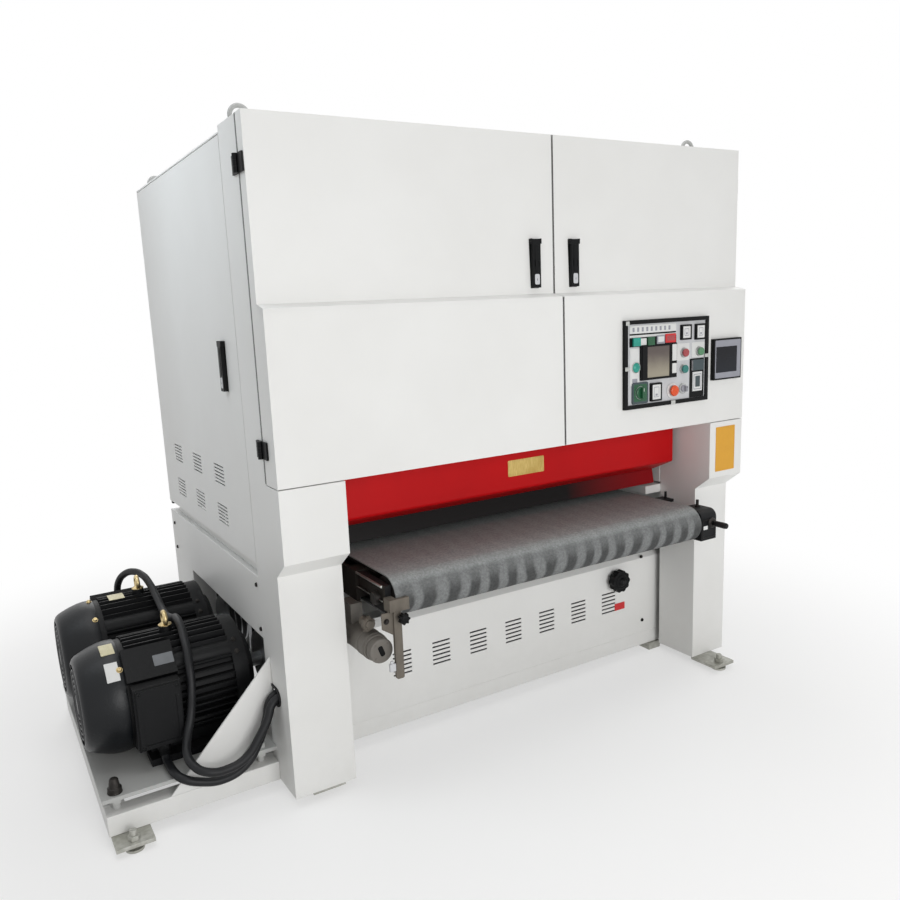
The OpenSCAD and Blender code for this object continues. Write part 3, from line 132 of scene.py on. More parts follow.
# sprayed enamel: glossier and deeper than powder coat, slow waves in the sheen
def sprayEnamel(name, hexText, deepHex, gloss, waveSize=200, peelSize=11.1):  # sizes in millimetres
    mat, tree, shader, place = startMaterial(name)
    wave = addNode(tree, "TexNoise", {"Vector": place, "Scale": metre / waveSize, "Detail": 4.0})["Fac"]
    tint = addNode(tree, "Mix", {"Factor": wave, "A": toLinear(hexText), "B": toLinear(deepHex)},
                   data_type="RGBA")["Result"]
    # the real peel of about 3 mm is too fine to show, so it is drawn coarser
    peel = addNode(tree, "TexNoise", {"Vector": place, "Scale": metre / peelSize, "Detail": 2.0})["Fac"]
    bump = addNode(tree, "Bump", {"Height": peel, "Strength": 0.06, "Distance": 2 * milli})["Normal"]
    rough = addNode(tree, "MapRange", {"Value": peel, "To Min": gloss, "To Max": gloss + 0.12})["Result"]
    setShader(tree, shader, Base_Color=tint, Specular_IOR_Level=0.15, Roughness=rough, Normal=bump)
    return mat


# lip enamel with painted shade: black under the guard where its shade falls, easing to a shaded dark red at the
# right end, where more light reaches
def lipShadeEnamel(name):
    mat = sprayEnamel(name, "#0E0A0A", "#0B0808", 0.4)
    tree = mat.node_tree
    shader = tree.nodes["Principled BSDF"]
    black = shader.inputs["Base Color"].links[0].from_socket
    place = addNode(tree, "TexCoord", {})["Object"]
    across = addNode(tree, "SeparateXYZ", {"Vector": place})["X"]
    # painted shade: the lip stays black to the left and turns dark red towards the right end
    shadeFade = addNode(tree, "MapRange", {"Value": across, "From Min": 0.55, "From Max": 0.95})["Result"]
    tint = addNode(tree, "Mix", {"Factor": shadeFade, "A": black, "B": toLinear("#8C0C14")},
                   data_type="RGBA")["Result"]
    setShader(tree, shader, Base_Color=tint)
    return mat


# painted casting: sandy grain under thick paint, grey dust lying on faces that look up
def paintedCasting(name, hexText, dustHex, sandSize, gloss, shine=0.36, blotchSize=71.4):  # millimetres
    mat, tree, shader, place = startMaterial(name)
    # sand grain of 0.5 to 1 mm is too fine to show, so it is drawn coarser
    sand = addNode(tree, "TexNoise", {"Vector": place, "Scale": metre / sandSize, "Detail": 5.0,
                                      "Roughness": 0.65})["Fac"]
    blotch = addNode(tree, "TexNoise", {"Vector": place, "Scale": metre / blotchSize, "Detail": 4.0})["Fac"]
    normal = addNode(tree, "NewGeometry", {})["Normal"]
    facing = addNode(tree, "SeparateXYZ", {"Vector": normal})["Z"]
    lying = addNode(tree, "MapRange", {"Value": facing, "From Min": 0.35, "From Max": 1.0,
                                       "To Max": 0.3})["Result"]
    dust = addNode(tree, "Math", {0: lying, 1: blotch}, operation="MULTIPLY")["Value"]
    tint = addNode(tree, "Mix", {"Factor": dust, "A": toLinear(hexText), "B": toLinear(dustHex)},
                   data_type="RGBA")["Result"]
    bump = addNode(tree, "Bump", {"Height": sand, "Strength": 0.22, "Distance": 3 * milli})["Normal"]
    rough = addNode(tree, "MapRange", {"Value": blotch, "To Min": gloss, "To Max": gloss + 0.2})["Result"]
    setShader(tree, shader, Base_Color=tint, Specular_IOR_Level=shine, Roughness=rough, Normal=bump)
    return mat


# bare or plated metal: fine drawn lines along one axis and a cloudy sheen
def drawnMetal(name, hexText, darkHex, lineSize, gloss, metal=1.0, cloudSize=55.6):  # sizes in millimetres
    mat, tree, shader, place = startMaterial(name)
    # lines of about 0.3 mm are too fine to show, so they are drawn coarser; one size for each axis
    pulled = addNode(tree, "Mapping", {"Vector": place, "Scale": [metre / s for s in lineSize]})["Vector"]
    lines = addNode(tree, "TexNoise", {"Vector": pulled, "Scale": 1.0, "Detail": 5.0})["Fac"]
    cloud = addNode(tree, "TexNoise", {"Vector": place, "Scale": metre / cloudSize, "Detail": 4.0})["Fac"]
    both = addNode(tree, "Math", {0: lines, 1: cloud}, operation="MULTIPLY")["Value"]
    share = addNode(tree, "MapRange", {"Value": both, "From Min": 0.12, "From Max": 0.45})["Result"]
    tint = addNode(tree, "Mix", {"Factor": share, "A": toLinear(darkHex), "B": toLinear(hexText)},
                   data_type="RGBA")["Result"]
    bump = addNode(tree, "Bump", {"Height": lines, "Strength": 0.08, "Distance": milli})["Normal"]
    rough = addNode(tree, "MapRange", {"Value": cloud, "To Min": gloss, "To Max": gloss + 0.2})["Result"]
    setShader(tree, shader, Base_Color=tint, Metallic=metal, Roughness=rough, Normal=bump)
    return mat


# moulded or printed plastic: slight unevenness of colour and a fine spark-eroded grain
def moulded(name, hexText, otherHex, gloss, grainSize=3.85, depth=0.06, shine=0.5, cloudSize=28.6):
    mat, tree, shader, place = startMaterial(name)
    cloud = addNode(tree, "TexNoise", {"Vector": place, "Scale": metre / cloudSize, "Detail": 3.0})["Fac"]
    tint = addNode(tree, "Mix", {"Factor": cloud, "A": toLinear(hexText), "B": toLinear(otherHex)},
                   data_type="RGBA")["Result"]
    # sizes in millimetres; grain of 0.1 to 0.5 mm is too fine to show, so it is drawn coarser
    spark = addNode(tree, "TexNoise", {"Vector": place, "Scale": metre / grainSize, "Detail": 2.0})["Fac"]
    bump = addNode(tree, "Bump", {"Height": spark, "Strength": depth, "Distance": milli})["Normal"]
    rough = addNode(tree, "MapRange", {"Value": spark, "To Min": gloss, "To Max": gloss + 0.15})["Result"]
    setShader(tree, shader, Base_Color=tint, Specular_IOR_Level=shine, Roughness=rough, Normal=bump)
    return mat


# rough-top belt rubber: dark and light bands along the feed, speckled nap, and painted light that makes the
# flat run paler
def roughTopRubber(name, bandPitch=78, wanderSize=250, napSize=7.69):  # sizes in millimetres
    mat, tree, shader, place = startMaterial(name)
    axes = addNode(tree, "SeparateXYZ", {"Vector": place})
    wander = addNode(tree, "TexNoise", {"Vector": place, "Scale": metre / wanderSize, "Detail": 3.0})["Fac"]
    off = addNode(tree, "Math", {0: wander, 1: 0.1}, operation="MULTIPLY")["Value"]
    across = addNode(tree, "Math", {0: axes["X"], 1: off}, operation="ADD")["Value"]
    angle = addNode(tree, "Math", {0: across, 1: fullTurn * metre / bandPitch}, operation="MULTIPLY")["Value"]
    wave = addNode(tree, "Math", {0: angle}, operation="SINE")["Value"]
    band = addNode(tree, "MapRange", {"Value": wave, "From Min": -0.7, "From Max": 0.5},
                   interpolation_type="SMOOTHSTEP")["Result"]
    # the bands fade towards the flat run
    low = addNode(tree, "MapRange", {"Value": axes["Z"], "From Min": 0.625, "From Max": 0.68, "To Min": 1.0,
                                     "To Max": 0.3}, interpolation_type="SMOOTHSTEP")["Result"]
    shade = addNode(tree, "Math", {0: band, 1: low}, operation="MULTIPLY")["Value"]
    base = addNode(tree, "Mix", {"Factor": shade, "A": toLinear("#7B7D7D"), "B": toLinear("#4A4B4B")},
                   data_type="RGBA")["Result"]
    # painted light: the flat run on top is mixed towards a pale grey
    flat = addNode(tree, "MapRange", {"Value": axes["Z"], "From Min": 0.676, "From Max": 0.694},
                   interpolation_type="SMOOTHSTEP")["Result"]
    flatRunLight = addNode(tree, "Math", {0: flat, 1: 0.6}, operation="MULTIPLY")["Value"]
    litFlatRun = addNode(tree, "Mix", {"Factor": flatRunLight, "A": base, "B": toLinear("#A3A8A7")},
                    data_type="RGBA")["Result"]
    # the real nap of about 2 mm is too fine to show, so it is drawn coarser
    nap = addNode(tree, "TexNoise", {"Vector": place, "Scale": metre / napSize, "Detail": 4.0,
                                     "Roughness": 0.75})["Fac"]
    fleck = addNode(tree, "MapRange", {"Value": nap, "From Min": 0.36, "From Max": 0.64, "To Min": 0.8,
                                       "To Max": 1.2})["Result"]
    tint = addNode(tree, "VectorMath", {0: litFlatRun, 1: fleck}, operation="MULTIPLY")["Vector"]
    bump = addNode(tree, "Bump", {"Height": nap, "Strength": 0.6, "Distance": 4 * milli})["Normal"]
    rough = addNode(tree, "MapRange", {"Value": nap, "To Min": 0.75, "To Max": 0.92})["Result"]
    setShader(tree, shader, Base_Color=tint, Roughness=rough, Specular_IOR_Level=0.2, Normal=bump)
    return mat


# display glass: dark pane with a paler lower part, the way an unlit screen mirrors a bright hall
def displayGlass(name, topHex, lowHex, lowZ, highZ, gloss, shine, smearSize=33.3):  # heights in metres
    mat, tree, shader, place = startMaterial(name)
    smear = addNode(tree, "TexNoise", {"Vector": place, "Scale": metre / smearSize, "Detail": 3.0})["Fac"]
    level = addNode(tree, "SeparateXYZ", {"Vector": place})["Z"]
    bend = addNode(tree, "Math", {0: smear, 1: 0.02}, operation="MULTIPLY")["Value"]
    height = addNode(tree, "Math", {0: level, 1: bend}, operation="ADD")["Value"]
    share = addNode(tree, "MapRange", {"Value": height, "From Min": lowZ, "From Max": highZ},
                    interpolation_type="SMOOTHSTEP")["Result"]
    tint = addNode(tree, "Mix", {"Factor": share, "A": toLinear(lowHex), "B": toLinear(topHex)},
                   data_type="RGBA")["Result"]
    rough = addNode(tree, "MapRange", {"Value": smear, "To Min": gloss, "To Max": gloss + 0.12})["Result"]
    setShader(tree, shader, Base_Color=tint, Specular_IOR_Level=shine, Roughness=rough)
    return mat


# finishes grouped under slot names, with pattern sizes in millimetres
finishes = {
    "white_enamel": {"white": powderCoat("powder_coated_sheet_white", "#E6E6E4", "#A8A49C")},
    "grey_enamel": {
        "grey": powderCoat("powder_coated_plate_grey", "#B4B5B3", "#8E8B85"),
        "motorGrey": paintedCasting("painted_cast_aluminium_grey", "#6E6A64", "#827E76", 7.14, 0.45)},
    "red_enamel": {
        "red": sprayEnamel("sprayed_enamel_red", "#C0090F", "#AC070D", 0.38),
        # the lip's black and dark red are painted shade on red enamel
        "lip": lipShadeEnamel("sprayed_enamel_red_with_painted_shade")},
    "black_enamel": {
        # dark primer whose darkness also stands in as painted shade for the shaded end of the conveyor
        "darkSheetAndShade": sprayEnamel("sprayed_primer_dark_and_painted_shade", "#2B2723", "#1F1C19", 0.5),
        "cast": paintedCasting("painted_cast_iron_black", "#08090B", "#2C2C2A", 3.85, 0.42, 0.2),
        "cowl": paintedCasting("painted_pressed_steel_black", "#070A0E", "#202326", 11.1, 0.27, 0.3)},
    "bare_steel": {
        "steel": drawnMetal("ground_steel", "#B4B6B7", "#7E8081", (33.3, 2.5, 2.5), 0.28),
        "bar": drawnMetal("hot_rolled_bar_oxide_skin", "#70695F", "#5A544C", (16.7, 16.7, 71.4), 0.45, 0.35),
        "dark": drawnMetal("blackened_steel", "#3A3734", "#1E1C1B", (8.33, 8.33, 16.7), 0.4, 0.7),
        "brass": drawnMetal("etched_brass_sheet", "#D8C07A", "#B79A52", (3.33, 16.7, 16.7), 0.34, 0.55),
        "rating": drawnMetal("anodised_rating_plate", "#D2CCB0", "#B8B190", (5.0, 16.7, 16.7), 0.4, 0.3)},
    "zinc_plate": {
        "zinc": drawnMetal("zinc_plated_steel", "#CFD0CC", "#A3A5A2", (16.7, 16.7, 4.17), 0.25),
        "dullZinc": drawnMetal("dulled_zinc_plate", "#C2C2BC", "#98988F", (16.7, 16.7, 16.7), 0.4, 0.6),
        "gold": drawnMetal("yellow_zinc_plated_steel", "#D9C79A", "#A8946A", (12.5, 12.5, 6.25), 0.3),
        "galvanised": drawnMetal("hot_dip_galvanised_sheet", "#B9BDBF", "#8F9496", (41.7, 41.7, 41.7), 0.38)},
    "feed_rubber": {"belt": roughTopRubber("rough_top_belt_rubber")},
    "black_rubber": {
        "rubber": moulded("vulcanised_rubber_black", "#131314", "#1A1A1B", 0.55, 5.56, 0.12, 0.25),
        "cable": moulded("cable_sheath_rubber", "#0D0E10", "#131417", 0.42, 8.33, 0.05, 0.3)},
    "abrasive_cloth": {"cloth": moulded("aluminium_oxide_cloth", "#7A4326", "#5C3019", 0.75, 3.125, 0.5)},
    "black_plastic": {
        "blackAbs": moulded("moulded_abs_black", "#08090A", "#0D0E0F", 0.38, 3.85, 0.06, 0.14),
        "slate": moulded("moulded_abs_slate", "#3B4A4E", "#2F3C41", 0.35),
        "screenDark": displayGlass("display_glass_dark", "#121319", "#1C1F26", 1.2, 1.3, 0.1, 0.2)},
    "grey_plastic": {
        "greyAbs": moulded("moulded_abs_grey", "#9A9BA3", "#8A8B94", 0.4),
        "pale": moulded("printed_polyester_film_pale", "#DEDEDC", "#D2D3D2", 0.35),
        "plate": moulded("anodised_panel_sheet_silver", "#C9CACC", "#BDBEC1", 0.38, 2.38, 0.03),
        "slatePlate": moulded("anodised_plate_grey", "#6E7174", "#5E6164", 0.4),
        "screen": displayGlass("display_glass_pale", "#5A504C", "#9A9382", 1.22, 1.31, 0.12, 0.4)},
    "stop_plastic": {
        "orange": moulded("anodised_aluminium_orange", "#DCA22C", "#D29826", 0.4),
        "stop": moulded("moulded_polycarbonate_orange", "#E2521A", "#CF4412", 0.2)},
    "red_plastic": {
        "redLens": moulded("moulded_polycarbonate_red", "#B04A4C", "#943A3E", 0.22),
        "redFilm": moulded("printed_polyester_film_red", "#D02A2C", "#BE2226", 0.35)},
    "green_plastic": {
        "greenLens": moulded("moulded_polycarbonate_green", "#5C8F68", "#477A55", 0.22),
        "darkGreen": moulded("moulded_polycarbonate_dark_green", "#1C5A38", "#15482C", 0.22)},
    "teal_plastic": {
        "tealLens": moulded("moulded_polycarbonate_teal", "#1FA08E", "#168374", 0.18),
        "tealDark": moulded("moulded_polycarbonate_deep_teal", "#2A7F78", "#1F6862", 0.22)},
}
finish = {key: mat for group in finishes.values() for key, mat in group.items()}
print("materials made", len(finish))


def roundEdges(obj, width, segments=2):  # rounding in millimetres that catches the light
    edge = obj.modifiers.new("edge", "BEVEL")
    edge.width = width * milli
    edge.segments = segments
    edge.limit_method = "ANGLE"
    edge.angle_limit = foldAngle
    even = obj.modifiers.new("even", "WEIGHTED_NORMAL")
    even.keep_sharp = False


# CAD nodes: finish and edge rounding in millimetres
cadClean = {"weld": 0.00002, "flat": math.radians(0.6)}  # reach in metres, angle between facets
cadFinish = {
    "white": (1.6, ["base_frame", "left_column", "right_column", "cabinet_frame", "rear_panel", "motor_bed",
                    "louvre_panel", "left_front_door", "right_front_door", "left_side_door",
                    "right_side_door"]),
    "grey": (1.2, ["motor_plate", "feed_drive", "lifting_eyes"]),
    "darkSheetAndShade": (1.0, ["conveyor_bed"]),
    # the conveyor bed takes the dark primer, which is also painted shade
    "red": (0.8, ["infeed_guard"]),
    "cast": (1.0, ["motor_1_frame", "motor_2_frame", "terminal_boxes", "roller_blocks"]),
    "cowl": (0.8, ["motor_cowls"]),
    "blackAbs": (0.6, ["hinge_leaves", "left_door_knuckles", "right_door_knuckles", "tension_handle",
                       "operator_screen", "control_frame", "main_switch", "speed_handwheel", "left_door_handle",
                       "right_door_handle", "left_side_handle"]),
    "plate": (0.5, ["control_plate", "key_selector"]),
    "stop": (1.5, ["stop_button"]),
    "redLens": (1.0, ["red_button"]),
    "greenLens": (1.0, ["green_button"]),
    "tealLens": (1.0, ["teal_button"]),
    "steel": (0.8, ["bearing_blocks", "tension_yokes", "tension_roller_1", "tension_roller_2", "lift_jacks",
                    "motor_1_rotor", "motor_2_rotor"]),
    "motorGrey": (0.8, ["tracking_motor"]),
    "zinc": (0.8, ["lift_screws"]),
    "dullZinc": (0.8, ["levelling_feet"]),
    "dark": (0.8, ["drive_roller", "idler_roller"]),
    "bar": (0.8, ["hanger_bracket"]),
    "belt": (0.8, ["feed_belt"]),
    "rubber": (0.8, ["contact_drum_1", "contact_drum_2", "pressure_roller_1", "pressure_roller_2",
                     "drive_belts", "motor_cables"]),
    "cloth": (0.3, ["sanding_belts"]),
    "galvanised": (1.0, ["electrical_board"]),
}
for key, (width, members) in cadFinish.items():
    for name in members:
        obj = nodes[name]
        obj.data.materials.clear()
        obj.data.materials.append(finish[key])
        weld = obj.modifiers.new("weld", "WELD")
        weld.merge_threshold = cadClean["weld"]
        flat = obj.modifiers.new("flat", "DECIMATE")
        flat.decimate_type = "DISSOLVE"
        flat.angle_limit = cadClean["flat"]
        roundEdges(obj, width)
print("CAD finishes set")


# mesh helpers: all take machine millimetres
def joinRings(bm, one, two):  # band of faces between two rings, either of which may be a single point
    count = max(len(one), len(two))
    for i in range(count):
        j = (i + 1) % count
        corners = (one[i % len(one)], one[j % len(one)], two[j % len(two)], two[i % len(two)])
        face = list(dict.fromkeys(corners))
        if len(face) > 2:
            bm.faces.new(face)


def closeRings(bm, low, high):
    bm.faces.new(low[::-1])
    bm.faces.new(high)
    joinRings(bm, low, high)


def lineAt(bm, outline, axis, d):  # outline in the two other axes, at d along this one
    return [bm.verts.new(at(*p[:axis], d, *p[axis:])) for p in outline]


def prism(bm, outline, axis, d0, d1):  # outline pushed from d0 to d1
    low = lineAt(bm, outline, axis, d0)
    closeRings(bm, low, lineAt(bm, outline, axis, d1))


def ringPrism(bm, outer, inner, axis, d0, d1):  # frame between two outlines of equal count
    ends = ((outer, d0), (outer, d1), (inner, d1), (inner, d0))
    loops = [lineAt(bm, line, axis, d) for line, d in ends]
    for one, two in zip(loops, loops[1:] + loops[:1]):
        joinRings(bm, one, two)


def slab(bm, origin, u, v, outline, d0, d1):  # outline in the plane of u and v, pushed along their normal
    u, v = Vector(u), Vector(v)
    n = u.cross(v)
    rows = [[bm.verts.new(at(*(Vector(origin) + a * u + b * v + d * n))) for a, b in outline]
            for d in (d0, d1)]
    closeRings(bm, *rows)


def block(bm, x0, x1, y0, y1, z0, z1, r=1.5):  # block with rounded upright edges
    prism(bm, roundRect(x0, x1, y0, y1, r), 2, z0, z1)


def arc(ca, cb, r, start, sweep, steps):  # angles in degrees
    turns = [math.radians(start + sweep * k / steps) for k in range(steps + 1)]
    return [(ca + r * math.cos(t), cb + r * math.sin(t)) for t in turns]


def roundRect(a0, a1, b0, b1, r, steps=4):
    points = arc(a1 - r, b1 - r, r, 0, 90, steps) + arc(a0 + r, b1 - r, r, 90, 90, steps)
    return points + arc(a0 + r, b0 + r, r, 180, 90, steps) + arc(a1 - r, b0 + r, r, 270, 90, steps)


def polygon(ca, cb, r, n, start=0.0):
    turns = [start + fullTurn * k / n for k in range(n)]
    return [(ca + r * math.cos(t), cb + r * math.sin(t)) for t in turns]


def lobed(ca, cb, r, swell, lobes, n=126):  # circle with a scalloped edge
    turns = [fullTurn * k / n for k in range(n)]
    reach = [r + swell * math.cos(lobes * t) for t in turns]
    return [(ca + s * math.cos(t), cb + s * math.sin(t)) for s, t in zip(reach, turns)]


def holed(a0, a1, b0, b1, ca, cb, r, n=48):  # rectangle and circle with points on the same rays
    outer, inner = [], []
    for k in range(n):
        t = fullTurn * (k + 0.5) / n
        c, s = math.cos(t), math.sin(t)
        reach = min(((a1 if c > 0 else a0) - ca) / c, ((b1 if s > 0 else b0) - cb) / s)
        outer.append((ca + reach * c, cb + reach * s))
        inner.append((ca + r * c, cb + r * s))
    return outer, inner


def turn(bm, centre, way, u, v, profile, n):  # profile of (distance along the way, radius)
    rings = []
    for d, r in profile:
        turns = [fullTurn * k / n for k in range(n if r > tipRadius else 1)]
        rings.append([bm.verts.new(at(*(Vector(centre) + d * way + r * (math.cos(t) * u + math.sin(t) * v))))
                      for t in turns])
    for one, two in zip(rings, rings[1:]):
        joinRings(bm, one, two)


def spin(bm, centre, way, profile, n=28):  # turned shape along any direction
    way = Vector(way).normalized()
    u = way.orthogonal().normalized()
    turn(bm, centre, way, u, way.cross(u), profile, n)


def lathe(bm, centre, axis, profile, n=28):  # turned shape along an axis, facets lined up with the others
    way, u, v = (Vector([float(k == (axis + s) % 3) for k in range(3)]) for s in range(3))
    turn(bm, centre, way, u, v, profile, n)


def torus(bm, centre, axis, big, small, n=40, m=14):
    turns = [fullTurn * k / m for k in range(m + 1)]
    lathe(bm, centre, axis, [(small * math.sin(t), big + small * math.cos(t)) for t in turns], n)


def bolt(bm, centre, axis, sign, r, tall):  # round head with a socket, standing along sign
    shape = [(0, 0), (0, 1.15), (0.15, 1.15), (0.2, 1), (0.8, 1), (1, 0.82), (1, 0.45), (0.45, 0.45), (0.45, 0)]
    lathe(bm, centre, axis, [(sign * tall * d, r * s) for d, s in shape], 20)


def hexBolt(bm, centre, axis, sign, r, tall, washer=0.2):  # washer and hexagon head
    rest = sign * tall * washer
    lathe(bm, centre, axis, [(0, 0), (0, r * 1.5), (rest, r * 1.5), (rest, 0)], 24)
    u, v = [k for k in range(3) if k != axis]
    prism(bm, polygon(centre[u], centre[v], r, 6), axis, centre[axis] + rest, centre[axis] + sign * tall)


def piece(name, bm, body, key, edge=0.0, stands=(), segments=2):
    bmesh.ops.remove_doubles(bm, verts=bm.verts, dist=1e-6)
    bmesh.ops.recalc_face_normals(bm, faces=bm.faces)
    data = bpy.data.meshes.new(name)
    bm.to_mesh(data)
    bm.free()
    data.polygons.foreach_set("use_smooth", [True] * len(data.polygons))
    data.set_sharp_from_angle(angle=foldAngle)
    obj = bpy.data.objects.new(name, data)
    scene.collection.objects.link(obj)
    data.materials.append(finish[key])
    if edge:
        roundEdges(obj, edge, segments)
    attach(obj, body)
    if stands:
        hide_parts(*stands)
    return obj


# motor cables: rubber sheath, from the terminal box glands into the left leg
cables = {"diameter": 0.026, "routes": [
    [(-1270, 268, 191.5), (-1270, 268, 178), (-1270, 252, 162), (-1269, 212, 157), (-1266, 168, 158),
     (-1252, 138, 150), (-1205, 120, 131), (-1130, 114, 119), (-1065, 118, 140), (-1020, 124, 192),
     (-988, 127, 262), (-970, 133, 314), (-942, 138, 331), (-905, 138, 333)],
    [(-1240, 1072, 430.5), (-1240, 1072, 462), (-1233, 1060, 502), (-1214, 1028, 537), (-1188, 982, 554),
     (-1166, 930, 550), (-1154, 860, 530), (-1150, 790, 505), (-1150, 670, 476), (-1150, 560, 494),
     (-1152, 460, 522), (-1158, 360, 500), (-1166, 285, 440), (-1174, 252, 366), (-1188, 236, 290),
     (-1212, 205, 236), (-1226, 160, 208), (-1220, 124, 189), (-1190, 90, 173), (-1125, 84, 165),
     (-1065, 86, 186), (-1025, 92, 230), (-992, 98, 276), (-972, 105, 316), (-942, 110, 331),
     (-905, 110, 334)]]}
for i, route in enumerate(cables["routes"]):
    curve = bpy.data.curves.new(f"motor_cable_{i + 1}", "CURVE")
    curve.dimensions = "3D"
    curve.bevel_depth = cables["diameter"] / 2
    curve.bevel_resolution = 6
    curve.resolution_u = 10
    curve.use_fill_caps = True
    spline = curve.splines.new("BEZIER")
    spline.bezier_points.add(len(route) - 1)
    for point, spot in zip(spline.bezier_points, route):
        point.co = at(*spot)
        point.handle_left_type = point.handle_right_type = "AUTO"
    curve.materials.append(finish["cable"])
    cable = bpy.data.objects.new(f"motor_cable_{i + 1}", curve)
    scene.collection.objects.link(cable)
    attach(cable, "frame")
    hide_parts("motor_cables")

ahead, astern, upward = (0, -1, 0), (0, 1, 0), (0, 0, 1)  # towards the operator, away, up
rightward, leftward = (1, 0, 0), (-1, 0, 0)

# control panel: places as shares of width and height from the upper left, heights over the plate in millimetres
panel = {"left": 322.0, "low": 1100.0, "wide": 416.0, "tall": 308.0, "face": -55.0,
         "tiles": {
             "pale": [(0.062, 0.6, 0.062, 0.15, 0, 2.6), (0.062, 0.6, 0.168, 0.193, 0, 1.2),
                      (0.066, 0.172, 0.315, 0.735, 0, 1.6), (0.545, 0.598, 0.3, 0.49, 6.7, 7.7),
                      (0.545, 0.598, 0.52, 0.635, 6.7, 7.7), (0.182, 0.248, 0.207, 0.285, 2.9, 3.9),
                      (0.812, 0.928, 0.652, 0.878, 0, 3.6), (0.378, 0.446, 0.2, 0.262, 5.9, 6.4)],
             "blackAbs": [(0.06, 0.602, 0.15, 0.168, 0, 0.7), (0.06, 0.602, 0.195, 0.298, 0, 3.0),
                          (0.176, 0.602, 0.283, 0.684, 0, 6.8), (0.776, 0.955, 0.49, 0.952, 0, 1.2)],
             "greyAbs": [(0.366, 0.458, 0.186, 0.288, 2.9, 6.0), (0.09, 0.148, 0.655, 0.7, 1.5, 2.0)]
             + [(0.09 + 0.052 * i, 0.112 + 0.052 * i, 0.082, 0.13, 2.5, 3.2) for i in range(9)],
             "tealLens": [(0.088, 0.17, 0.196, 0.29, 2.9, 9.4)],
             "darkGreen": [(0.256, 0.332, 0.196, 0.29, 2.9, 9.2)],
             "redFilm": [(0.466, 0.59, 0.176, 0.278, 2.9, 6.0)],
             "redLens": [(0.482, 0.575, 0.196, 0.256, 5.9, 6.5)],
             "slate": [(0.8, 0.937, 0.505, 0.632, 0, 8.7), (0.842, 0.9, 0.7, 0.83, 3.5, 4.6)],
             "screen": [(0.25, 0.51, 0.308, 0.658, 6.7, 7.2)],
             "zinc": [(0.0, 0.052, 0.515, 0.56, 5.8, 9.0), (0.535, 0.585, 0.955, 1.0, 5.8, 9.0),
                      (0.95, 1.0, 0.445, 0.485, 5.8, 9.0), (0.006, 0.044, 0.008, 0.056, 5.8, 8.6)]},
         "displayRim": ((0.19, 0.535, 0.292, 0.676), (0.25, 0.51, 0.308, 0.658), 6.6, 8.8),
         "counterLine": ((0.822, 0.918, 0.675, 0.86), (0.829, 0.911, 0.684, 0.851), 3.5, 3.9),
         "meters": [(0.652, 0.771, 0.085, 0.26), (0.829, 0.948, 0.085, 0.27), (0.292, 0.417, 0.725, 0.935)],
         "lamp": (0.13, 0.53), "switch": (0.175, 0.82), "key": (0.69, 0.83), "stop": (0.56, 0.84),
         "switchHole": 23.4, "buttonHole": 18.2,
         "switchPlates": {"slate": (0.084, 0.267, 0.7, 0.946, 0, 5.2),
                          "darkGreen": (0.1, 0.25, 0.722, 0.918, 5.1, 5.7)},
         "buttonPlates": {"red_button": (0.618, 0.768, 0.3, 0.5, 0, 1.4),
                          "green_button": (0.8, 0.958, 0.3, 0.48, 0, 1.4)},
         "buttons": {"red_button": (0.7, 0.41, "redLens"), "green_button": (0.89, 0.41, "greenLens"),
                     "teal_button": (0.695, 0.6, "tealDark")},
         "collars": {"lamp": (19.4, 17.2, 1.5, 5.0), "button": (17.8, 15.1, 0, 4.5),
                     "key": (19.0, 16.1, 0, 4.5), "stop": (27.0, 18.2, 0, 3.4, 48)},
         "lampLens": [(1.5, 0), (1.5, 17), (5, 17), (6.4, 15.4), (9, 12.4), (10.4, 8), (11, 0)]}
meter = {"rim": (0.014, 0.02), "dial": (0.012, 0.017), "scale": ((0.033, 0.046), (0.037, 0.052)),
         "hub": (0.05, 0.085, 0.062),
         "tops": {"rim": 10.8, "dial": 9.7, "scale": 9.95, "hub": 10.0, "print": 9.6}}
face = panel["face"]


def onPanel(u, v):
    return panel["left"] + panel["wide"] * u, panel["low"] + panel["tall"] * (1 - v)


def shareBox(u0, u1, v0, v1):
    (x0, z1), (x1, z0) = onPanel(u0, v0), onPanel(u1, v1)
    return x0, x1, z0, z1


def shareRect(u0, u1, v0, v1, r=1.6):
    return roundRect(*shareBox(u0, u1, v0, v1), r)


def inset(rect, du, dv):
    return rect[0] + du, rect[1] - du, rect[2] + dv, rect[3] - dv


def holedPlate(bm, rect, place, hole):  # plate with a round hole, rect as a tile's
    outer, inner = holed(*shareBox(*rect[:4]), *onPanel(*place), hole)
    ringPrism(bm, outer, inner, 1, face - rect[4], face - rect[5])


def collar(bm, place, outer, inner, low, high, sides=40):
    x, z = onPanel(*place)
    ringPrism(bm, polygon(x, z, outer, sides), polygon(x, z, inner, sides), 1, face - low, face - high)


meshes = {key: bmesh.new() for key in panel["tiles"]}
for key, tiles in panel["tiles"].items():
    for *rect, low, high in tiles:
        prism(meshes[key], shareRect(*rect), 1, face - low, face - high)
outer, inner, low, high = panel["displayRim"]
ringPrism(meshes["blackAbs"], shareRect(*outer), shareRect(*inner), 1, face - low, face - high)
levels = {key: face - height for key, height in meter["tops"].items()}
for rect in panel["meters"]:
    rimInside = inset(rect, *meter["rim"])
    ringPrism(meshes["blackAbs"], shareRect(*rect), shareRect(*rimInside), 1, face, levels["rim"])
    prism(meshes["pale"], shareRect(*inset(rect, *meter["dial"])), 1, face, levels["dial"])
    outer, inner = (inset(rect, *edge) for edge in meter["scale"])
    ringPrism(meshes["greyAbs"], shareRect(*outer), shareRect(*inner, 1.0), 1, levels["print"], levels["scale"])
    du, low, high = meter["hub"]
    hub = (rect[0] + du, rect[1] - du, rect[3] - low, rect[3] - high)
    prism(meshes["greyAbs"], shareRect(*hub, 0.8), 1, levels["print"], levels["hub"])
outer, inner, low, high = panel["counterLine"]
